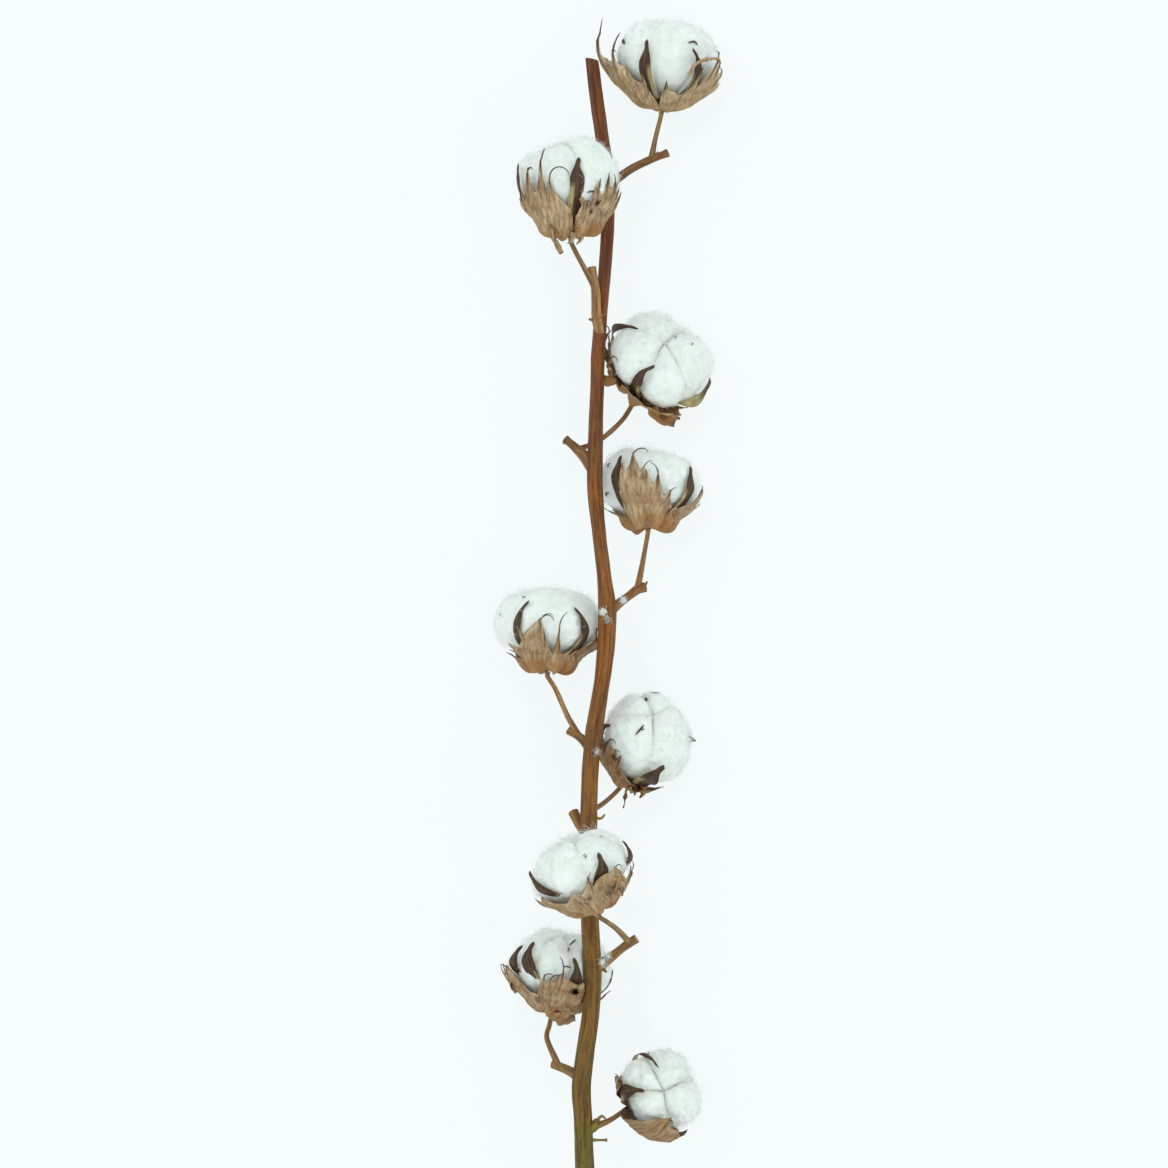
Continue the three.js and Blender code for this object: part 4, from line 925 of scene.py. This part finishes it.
# Wisps: each is a pointed three-sided thread on eight points, lifted off the lint in an arc and curled to one
# side. It runs from a through the rings round b and c to d.
def wispPart(starts, normals, seed, lengths, lifts, radii):
    count = len(starts)
    number = np.arange(count)
    random = [vary(number + 1, seed * 7 + k) for k in range(6)]
    spin = np.stack([np.cos(random[0] * 40), np.sin(random[0] * 40), np.cos(random[1] * 50)], -1) + 1e-3
    sideways = unit(np.cross(normals, spin))
    other = np.cross(normals, sideways)
    length = (lengths[0] + (lengths[1] - lengths[0]) * random[2] ** 2)[:, None]
    lift = (lifts[0] + (lifts[1] - lifts[0]) * random[3] ** 2)[:, None]
    loose = (random[4] < .35)[:, None]
    curl = (random[5] - .5)[:, None]
    a = starts - .5 * normals
    b = starts + .34 * length * sideways + lift * normals * .8 + curl * length * .12 * other
    c = (starts + .68 * length * sideways + lift * normals * np.where(loose, 1.5, .8)
         + curl * length * .35 * other)
    d = starts + length * sideways + lift * normals * np.where(loose, 1.7, -.5) + curl * length * .75 * other
    radius = (radii[0] + (radii[1] - radii[0]) * random[1])[:, None, None, None]
    turn = np.radians([0, 120, 240])
    ring = np.cos(turn)[:, None] * other[:, None] + np.sin(turn)[:, None] * normals[:, None]
    middles = np.stack([b, c], 1)[:, :, None] + radius * ring[:, None]
    points = np.concatenate([a[:, None], middles.reshape(count, 6, 3), d[:, None]], axis=1)
    points[..., 2] = np.maximum(points[..., 2], .1 + .2 * points[..., 0] % .1)
    quads = np.array([[1, 2, 5, 4], [2, 3, 6, 5], [3, 1, 4, 6]])
    tris = np.array([[0, 2, 1], [0, 3, 2], [0, 1, 3], [7, 4, 5], [7, 5, 6], [7, 6, 4]])
    steps = (np.arange(count) * 8)[:, None, None]
    return faceOut({"points": points.reshape(-1, 3), "quads": (quads + steps).reshape(-1, 4),
                    "tris": (tris + steps).reshape(-1, 3), "marks": {}})


# Wisps over the lint of one boll, spread evenly from the tip to a polar angle of 115 degrees.
def bollWisps(boll, seed):
    number = np.arange(lint["wisps"])
    polar = np.degrees(np.arccos(1 - 1.42 * vary(number, seed)))
    azimuth = 360 * vary(number, seed + 11)
    points = lintPoints(boll, polar[:, None], azimuth[:, None], seed)[0][:, 0]
    clear = points[:, 2] > 3
    return wispPart(points[clear], aim(boll, polar, azimuth)[clear], seed, lint["wispLength"],
                    lint["wispLift"], lint["wispRadius"])


# Valve: a keeled leaf carried from its root to its tip. Its half width grows to the given one, narrows to a
# neck near its end and ends in a hooked beak. Its reach is near the spheroid, plus a camber of 1 - t2 across,
# and it moves out to the bent tip. A valve that names no twist or sinking has 0.
def valvePart(boll, valve, seed):
    azimuth0, azimuth1, tip, bend, hook, paleSide, widest, twist, sunk = (*valve, 0, 0)[:9]
    s = np.linspace(0, 1, burr["rows"])[:, None]
    t = np.linspace(-1, 1, burr["across"])[None]
    polar = burr["root"] + (tip - burr["root"]) * s
    azimuth = azimuth0 + (azimuth1 - azimuth0) * np.clip(s * 2 - 1, 0, 1) ** 1.3
    width = widest * (.45 + .55 * ease(s, 0, .3)) * (1 - .74 * ease(s, .74, .94))
    width = width * (1 + .07 * np.sin(15 * s + seed))
    width = (width + .3 * np.exp(-((s - .95) / .025) ** 2)) * np.sqrt(np.clip((1 - s) / .035, 0, 1)) + .06
    seat = spheroid(boll, polar)
    root = ease(polar, 108, 158)
    pull = ease(s, .5, 1)
    lower = seat * (.965 + .035 * root) + 1.2 * root + .5
    sinking = sunk * ease(s, .1, .3) * (1 - ease(s, .6, .85))
    centre = lower * (1 - pull) + (seat + bend) * pull - sinking
    edgeCurl = ease(np.abs(t), .45, 1) * ease(s, .15, .4) * (1 - ease(s, .7, .85))
    camber = 1.1 * (1 - t ** 2) + edgeCurl * np.where(t * paleSide > 0, 1.5, .5)
    camber = camber * np.clip(width / 2, .15, 1)
    a0 = np.radians(azimuth)[..., None]
    sideways = -boll["front"] * np.sin(a0) + boll["right"] * np.cos(a0)
    rays = aim(boll, polar + 0 * t, azimuth + 0 * t)
    turned = np.radians(twist) * ease(s, .5, .8)
    wave = .5 * np.sin(9 * s + seed) + 2.2 * hook * ease(s, .82, 1) ** 1.6
    shift = (t * width * np.cos(turned) + wave * ease(s, .3, .6))[..., None] * sideways
    shift = shift + (t * width * np.sin(turned) + .85 * width * np.abs(np.sin(turned)))[..., None] * rays
    thick = burr["thickness"] * (.35 + .65 * (1 - t ** 2)) * np.clip(width / 1.2, .25, 1)
    floorGap, woodGap = 1.2, .9 + 0 * polar * t
    outer = settle(boll, rays, centre + camber, floorGap, woodGap) + shift
    inner = settle(boll, rays, centre + camber - thick, floorGap, woodGap) + shift
    grid = np.concatenate([outer, inner[:, ::-1]], axis=1)
    grid[..., 2] = np.maximum(grid[..., 2], .4)
    across = np.concatenate([t * width, (t * width)[:, ::-1]], axis=1)
    run = seat * np.radians(burr["root"] - polar) + 0 * across
    grain = np.stack([across, across * 0 + seed * 9.0, run], -1)
    margin = ease(t * paleSide, .18, .34) * ease(s, .12, .25) * (1 - ease(s, .62, .74)) + 0 * s
    margin = np.concatenate([margin, 1 - .85 * ease(s, .76, .92) + 0 * t], axis=1)
    keel = np.concatenate([np.exp(-(t / .16) ** 2) + 0 * s, 0 * s * t], axis=1)
    return closedSkin(grid, {"grainPlace": grain, "margin": margin, "keel": keel})


# A turned disc: front r cos a + right r sin a + axis d, for each radius r and distance d of the profile.
def turnedPart(boll, profile, sides, marks):
    radius, distance = np.array(profile, float).T[..., None]
    a = np.arange(sides) * 2 * np.pi / sides
    radius = radius * (1 + .08 * np.sin(3 * a) + .05 * np.sin(7 * a + 1))
    ring = np.cos(a)[:, None] * boll["front"] + np.sin(a)[:, None] * boll["right"]
    grid = boll["foot"] + radius[..., None] * ring + (distance + 0 * a)[..., None] * boll["axis"]
    grain = np.stack([radius * np.cos(a), radius * np.sin(a), distance + 0 * a], -1)
    spread = {name: value + 0 * radius for name, value in marks.items()}
    return closedSkin(grid, {"grainPlace": grain, **spread})


# Columns along the edge of a bract. Between two of its points the azimuth moves evenly, and the polar angle
# as t to the power of 1.4 from the lower one, so that teeth are drawn out to a point. The last two rows are
# the flare and the nearness to a tooth's tip.
def leafEdge(points):
    keys = np.array(points, float)
    turns, climbs = np.abs(np.diff(keys[:, 0])), np.abs(np.diff(keys[:, 1]))
    steps = np.maximum(2, np.rint(climbs / bract["climbStep"] + turns / bract["turnStep"])).astype(int)
    place = np.interp(np.arange(steps.sum() + 1), np.r_[0, np.cumsum(steps)], np.arange(len(keys)))
    number = np.minimum(place.astype(int), len(keys) - 2)
    t, before, after = place - number, keys[number], keys[number + 1]
    rising = after[:, 1] < before[:, 1]
    up = np.where(rising, t, 1 - t)
    low, high = np.where(rising, before[:, 1], after[:, 1]), np.where(rising, after[:, 1], before[:, 1])
    azimuth = before[:, 0] + (after[:, 0] - before[:, 0]) * t
    flare = before[:, 2] + (after[:, 2] - before[:, 2]) * t
    return np.stack([azimuth, low + (high - low) * up ** 1.4, flare, up * np.clip((low - high) / 14, .25, 1)])


# The bract underneath: its tips stand climb x length x (1 - 0.34 u2) degrees above its start, and its clefts
# stand at three quarters of that.
def backEdge(boll):
    azimuth, length, span, flare = boll["backLeaf"]
    u = np.linspace(-1, 1, 9)
    isTooth = np.arange(9) % 2
    share = np.where(isTooth, 1 + .08 * vary(azimuth, u), .74 + .06 * vary(u, azimuth))
    top = bract["start"] - bract["climb"] * length * (1 - .34 * u ** 2) * share
    return leafEdge(np.column_stack([azimuth + u * span, top, flare + isTooth]))


# Bract: a leaf wrapped round the boll from below. Its row v lies at start - (start - edge) v degrees, and its
# reach is the spheroid + the layer's offset + two lobes that hang round the stalk + flare x v3 + pleats along
# it and crumples that grow towards the edge.
def leafPart(boll, edge, layer, seed):
    start = bract["start"]
    v = np.linspace(0, 1, bract["rows"])[:, None]
    azimuth, top, flare, tooth = (row[None] + 0 * v for row in edge)
    u = 2 * (azimuth - azimuth.min()) / np.ptp(azimuth) - 1
    polar = start - (start - top) * v
    lobes = np.exp(-((polar - 153) / 14) ** 2) * (.2 + .8 * np.sin(np.pi * u) ** 2)
    wave = .7 * np.sin(2.5 * np.pi * u + azimuth.min()) * v
    offset = 1.4 + layer + (3.3 - layer) * ease(polar, 150, 170) + boll["bag"] * lobes + wave + flare * v ** 3
    reach = spheroid(boll, polar)
    rays = aim(boll, polar, azimuth)
    spots = boll["heart"] + rays * (reach + offset)[..., None]
    bent = azimuth + 5 * softNoise(spots, 11, seed + 3)
    pleat = np.abs(np.sin(np.radians(bent * 21))) ** .6 * (.45 + .55 * vary(np.floor(bent * 21 / 180), seed))
    middling, small = softNoise(spots, 4.2, seed + 1), softNoise(spots, 1.9, seed + 2)
    crumple = 1.1 * softNoise(spots, 8, seed) + .9 * (.5 - np.abs(middling)) + .35 * (.5 - np.abs(small))
    pleats = (pleat - .5) * ease(v, .05, .4) * (1 - .5 * v)
    offset = offset + boll.get("crumple", 1) * crumple * (.3 + .7 * v) + pleats
    wanted = reach + np.maximum(offset, .9 + .5 * layer)
    thickness, floorGap, woodGap = bract["thickness"], bract["floorGap"], bract["woodGap"]
    outer = settle(boll, rays, wanted + thickness, floorGap, woodGap)
    inner = settle(boll, rays, wanted, floorGap + thickness, woodGap + thickness)
    keep = np.ones((bract["rows"] - 1, azimuth.shape[1] - 1), bool)
    cells = (outer[:-1, :-1] + outer[1:, 1:]) / 2
    holeEdge = 0 * v
    for leaf, holeAzimuth, holePolar, radius in boll["holes"]:
        if leaf == layer - 1:
            middle = np.argmin(np.abs(azimuth - holeAzimuth) + np.abs(polar - holePolar))
            keep &= np.linalg.norm(cells - outer.reshape(-1, 3)[middle], axis=-1) > radius
            away = np.hypot((azimuth - holeAzimuth) * .45, (polar - holePolar) * .5)
            holeEdge = holeEdge + np.exp(-(away / (radius + .6)) ** 6)
    across = np.radians(azimuth) * reach * np.sin(np.radians(polar)).clip(.25)
    across = across + 1.6 * softNoise(spots, 7, seed + 9)
    along = np.radians(start - polar) * reach
    darkTips = ease(v, .62, .98) * ease(tooth, .45, .95)
    darkEdge = .35 * ease(v, .965, 1) * ease(softNoise(spots, 5, seed + 6), -.2, .3)
    rim = boll.get("rims", 1) * np.clip(darkTips + darkEdge + holeEdge, 0, 1)
    # A painted highlight on the ridges of the middling crumples
    paintedFoldShading = boll.get("crumple", .8) * np.exp(-(middling / .13) ** 2)
    # Painted shade in the valleys of pleats and crumples
    paintedCreaseShade = .8 * (1 - pleat) + .75 * ease(-crumple, .1, 1.1)
    paleEdge = .6 * (1 - ease((1 - v) * (start - top), 2, 8)) * (1 - ease(tooth, .25, .7))
    paleEdge = paleEdge * ease(softNoise(spots, 6, seed + 7), -.5, .3)
    crest = np.clip(paleEdge + .34 * paintedFoldShading, 0, 1) * (1 - rim)
    # Painted light shining warm through the lobes that hang round the stalk, then each boll's own orange tone
    paintedLobeLight = ease(polar, 134, 153) * (boll["bag"] / 8 + .6 * softNoise(outer, 8, seed + 5)).clip(0, 1)
    amberTint = boll.get("amber", 0) * (1 + softNoise(outer, 6, seed + 8))
    # The pleat mark holds the painted shade of those valleys
    return outer, thinLeaf(outer, inner, keep, {
        "grainPlace": np.stack([across, 0 * across + seed * 5.0, along], -1), "rimDark": rim, "crest": crest,
        "foot": (paintedLobeLight + amberTint).clip(0, 1), "pleat": paintedCreaseShade.clip(0, 1), "age": boll["age"] + 0 * rim})


# A thread from the edge of a bract: the sum of short steps cos(bend) ahead + sin(bend) aside, where the bend
# grows to the curl as s to the power of 1.15. It thins to its end.
def threadPart(boll, outer, azimuth, angle, length, curl, way, thick, steps=13):
    column = np.argmin(np.abs(azimuth - angle))
    before, tip = outer[-3, column], outer[-1, column]
    ray = unit(tip - boll["heart"])
    ahead = unit(tip - before)
    outward = unit(ray - ahead * (ray @ ahead))
    aside = outward * np.cos(np.radians(way)) + np.cross(ahead, outward) * np.sin(np.radians(way))
    s = np.linspace(0, 1, steps)[:, None]
    bend = np.radians(curl) * s ** 1.15
    full = length + np.linalg.norm(tip - before)
    walk = np.cumsum(np.cos(bend) * ahead + np.sin(bend) * aside, axis=0) * full / steps
    path = before - .15 * outward + walk + .5 * s * outward
    path[:, 2] = np.maximum(path[:, 2], .8)
    marks = {"rimDark": .35 + .65 * ease(s, 0, .5), "grainPlace": path[:, None] * [1, 1, .3]}
    return smallTube(path, thick * (1 - s) ** .6 + .1, 6, marks)


# A curled scrap of dry leaf: a strip on a smooth route over the boll, cupped by 1 - t2 across and rolled more
# and more along it.
def scrapPart(boll, scrap, seed):
    keys = np.array(scrap[:-1], float)
    reach = spheroid(boll, keys[:, 1]) + keys[:, 2]
    route = boll["heart"] + aim(boll, keys[:, 1], keys[:, 0]) * reach[:, None]
    line, run = followRoute(np.column_stack([route, keys[:, 3]]), .6)
    path = line[:, :3]
    normal = unit(path - boll["heart"])
    along = unit(np.gradient(path, axis=0))
    flat = unit(np.cross(along, normal))
    roll = np.radians(scrap[-1]) * (run / run[-1])[:, None] ** 1.3
    across = np.cos(roll) * flat + np.sin(roll) * np.cross(along, flat)
    face = np.cross(across, along)
    t = np.linspace(-1, 1, 11)[None, :, None]
    width = (line[:, 3] / 2 * (.85 + .3 * softNoise(path, 2.2, seed)))[:, None, None] + .15
    place = path[:, None] + t * width * across[:, None]
    cup = .45 * width[..., 0] * (1 - t[..., 0] ** 2) + .5 * softNoise(place, 2.6, seed + 1)
    outer = place + cup[..., None] * face[:, None]
    inner = outer - .32 * face[:, None]
    outer[..., 2], inner[..., 2] = np.maximum(outer[..., 2], .9), np.maximum(inner[..., 2], .5)
    share = (run / run[-1])[:, None] + 0 * t[..., 0]
    grain = np.stack([t[..., 0] * width[..., 0], 0 * share + seed * 5.0, run[:, None] + 0 * share], -1)
    keep = np.ones((len(path) - 1, 10), bool)
    rim = np.clip(.45 * ease(np.abs(t[..., 0]), .85, 1) + ease(share, .9, 1) * .7, 0, 1)
    # Paler towards the strip's sides
    crest = .5 * ease(np.abs(t[..., 0]), .55, .8) * (1 - rim)
    foot = np.clip(.45 * (1 - share) + boll.get("amber", 0), 0, 1)
    # An even touch of painted crease shade over the whole strip
    return thinLeaf(outer, inner, keep, {
        "grainPlace": grain, "rimDark": rim, "crest": crest, "foot": foot, "pleat": .4 + 0 * share,
        "age": boll["age"] + 0 * share})


# A dark thread that lies on the lint: it starts at a point and heads off, turning by curl along its length.
def fleckPart(boll, fleck, seed):
    azimuth, polar, heading, length, curl, radius = fleck
    s = np.linspace(0, 1, 10)
    turn = np.radians(heading + curl * s)
    step = np.degrees(length / 9 / spheroid(boll, np.array(float(polar))))
    polars = polar - np.cumsum(np.cos(turn)) * step
    azimuths = azimuth + np.cumsum(np.sin(turn)) * step / np.sin(np.radians(polar))
    path = lintPoints(boll, polars[:, None], azimuths[:, None], seed)[0][:, 0]
    path = path + aim(boll, polars, azimuths) * (radius * .9 + .5 * np.sin(np.pi * s) ** 2)[:, None]
    thick = radius * (.35 + .9 * np.sin(np.pi * (.15 + .8 * s)))[:, None]
    return smallTube(path, thick, 6, {"rimDark": .88, "grainPlace": path[:, None]})


# A plain round tube through the given points: point + radius (cos a . across + sin a . side).
def smallTube(path, radius, sides, marks):
    across, side = acrossLine(path)[1:]
    a = np.arange(sides) * 2 * np.pi / sides
    ring = np.cos(a)[:, None] * across[:, None] + np.sin(a)[:, None] * side[:, None]
    grid = path[:, None] + radius[..., None] * ring
    spread = {}
    for name, value in marks.items():
        if np.ndim(value) == 3:
            spread[name] = np.broadcast_to(value, (*grid.shape[:2], 3))
        else:
            spread[name] = value + 0 * a + 0 * radius
    return closedSkin(grid, spread)


# Fluff caught at the joints of the wood: x, y, z and size of each tuft, and how flat its ball is
fluff = {
    "tufts": ((14.5, 0, 50.5, 2.2), (1.8, -7.4, 56, 2.6), (4.6, -12, 55.5, 1.6), (1.6, -223, 61, 2.4),
              (5, -219.5, 61, 1.6), (10, 261.5, 43.8, 1.8), (-2.4, -93.5, 57, 1.5)),
    "rows": 14, "columns": 18, "flat": .55, "seed": 60,
    "wisps": 90, "wispLength": (1.5, 5.0), "wispLift": (.3, 1.6),
}


# A tuft: a small flattened ball whose radius is the size x (0.8 + 0.35 noise), with wisps standing off it.
def tuftParts(tuft, seed):
    middle, size = np.array(tuft[:3]), tuft[3]
    polar = np.radians(np.linspace(0, 180, fluff["rows"])[1:-1, None])
    turn = np.radians(np.arange(fluff["columns"]) * 360.0 / fluff["columns"])
    up = fluff["flat"] * np.cos(polar) + 0 * turn
    ray = np.stack([np.sin(polar) * np.cos(turn), np.sin(polar) * np.sin(turn), up], -1)
    ball = middle + ray * (size * (.8 + .35 * softNoise(ray * size + seed, 1.3, seed)))[..., None]
    number = np.arange(fluff["wisps"])
    side, up = 2 * np.pi * vary(number, seed), vary(number, seed + 3)
    way = np.stack([np.cos(side) * np.sqrt(1 - up ** 2), np.sin(side) * np.sqrt(1 - up ** 2), up], -1)
    starts = middle + way * size * .7
    wisps = wispPart(starts, way, seed, fluff["wispLength"], fluff["wispLift"], lint["wispRadius"])
    return [closedSkin(ball), wisps]


tufts = sum((tuftParts(tuft, fluff["seed"] + i) for i, tuft in enumerate(fluff["tufts"])), [])
addPiece("fluff", tufts, lintMaterial, [])
print("fluff made")

# Turned discs at the foot of each boll: radius and distance along the axis
discs = {
    "sides": 24, "tint": .4,  # how orange the receptacle is
    "receptacle": ((.3, 0), (1.8, 0), (3.4, .5), (4.6, 1.9), (4.4, 2.8), (3.7, 3.4), (.3, 3.4)),
    "burr": ((.3, 3.8), (3.9, 3.8), (6.1, 4.3), (6.5, 4.7), (6.1, 5.1), (3.9, 5.6), (.3, 5.6)),
}

for number, boll in enumerate(bolls, 1):
    boll["wood"] = woodNear(boll)
    name, seed = f"boll{number}", 10 * number
    lintParts = [lintPart(boll, seed), bollWisps(boll, seed)]
    addPiece(name + "Lint", lintParts, lintMaterial, [f"boll_{number}_lint"])
    valves = [valvePart(boll, valve, seed + i) for i, valve in enumerate(boll["valves"])]
    valves.append(turnedPart(boll, discs["burr"], discs["sides"], {"margin": 0}))
    addPiece(name + "Burr", valves, burrMaterial, [f"boll_{number}_burr"])
    edges = [backEdge(boll)] + [leafEdge(points) for points in boll["leaves"]]
    leaves = [leafPart(boll, edge, layer, seed + layer) for layer, edge in enumerate(edges)]
    details = [threadPart(boll, leaves[leaf + 1][0], edges[leaf + 1][0], *thread)
               for leaf, *thread in boll["threads"]]
    details += [scrapPart(boll, scrap, seed + i) for i, scrap in enumerate(boll["scraps"])]
    details += [fleckPart(boll, fleck, seed) for fleck in boll["flecks"]]
    details.append(turnedPart(boll, discs["receptacle"], discs["sides"], {"foot": discs["tint"]}))
    blades = [part for _, part in leaves]
    addPiece(name + "Bracts", blades + details, bractMaterial, [f"boll_{number}_bracts"])
    print(name, "made")

# The studio, in metres: lamps have a place, a width and watts
studio = {
    "floor": 12.0, "floorColour": (.12, .125, .125), "floorGlow": .85,
    "sky": (.94, .99, .99), "skyStrength": .97,
    "lamps": (((-.9, .9, 3.2), 2.4, 17), ((1.6, -1.2, 2.6), 2.0, 9)),
    "cameraPlace": (-.01732, .02632, 2.061), "lens": 100, "sensor": 36,
}


# A glowing floor, a plain sky, round lamps that point at the branch and a camera straight above it.
def makeStudio():
    material, _, shader = newMaterial("floor")  # its own nodes are enough
    shader.inputs["Base Color"].default_value = opaque(studio["floorColour"])
    shader.inputs["Roughness"].default_value = 1.0
    shader.inputs["Specular IOR Level"].default_value = 0.0
    shader.inputs["Emission Color"].default_value = opaque(studio["sky"])
    shader.inputs["Emission Strength"].default_value = studio["floorGlow"]
    size = studio["floor"] / 2
    mesh = bpy.data.meshes.new("floor")
    corners = [(-size, -size, 0), (size, -size, 0), (size, size, 0), (-size, size, 0)]
    mesh.from_pydata(corners, [], [(0, 1, 2, 3)])
    mesh.materials.append(material)
    floor = bpy.data.objects.new("floor", mesh)
    bpy.context.scene.collection.objects.link(floor)
    world = bpy.data.worlds.new("studio")
    world.use_nodes = True
    sky = world.node_tree.nodes["Background"]
    sky.inputs["Color"].default_value = opaque(studio["sky"])
    sky.inputs["Strength"].default_value = studio["skyStrength"]
    bpy.context.scene.world = world
    for i, (place, width, power) in enumerate(studio["lamps"]):
        light = bpy.data.lights.new(f"lamp{i}", "AREA")
        light.shape, light.size, light.energy = "DISK", width, power
        lamp = bpy.data.objects.new(f"lamp{i}", light)
        lamp.location = place
        lamp.rotation_euler = (-lamp.location).to_track_quat("-Z", "Y").to_euler()
        lamp.visible_camera = False
        bpy.context.scene.collection.objects.link(lamp)
    lens = bpy.data.cameras.new("camera")
    lens.lens, lens.sensor_width = studio["lens"], studio["sensor"]
    camera = bpy.data.objects.new("camera", lens)
    camera.location = studio["cameraPlace"]
    bpy.context.scene.collection.objects.link(camera)
    bpy.context.scene.camera = camera
    bpy.context.scene.view_settings.view_transform = "Standard"


makeStudio()
print("studio made")

bpy.context.view_layer.update()
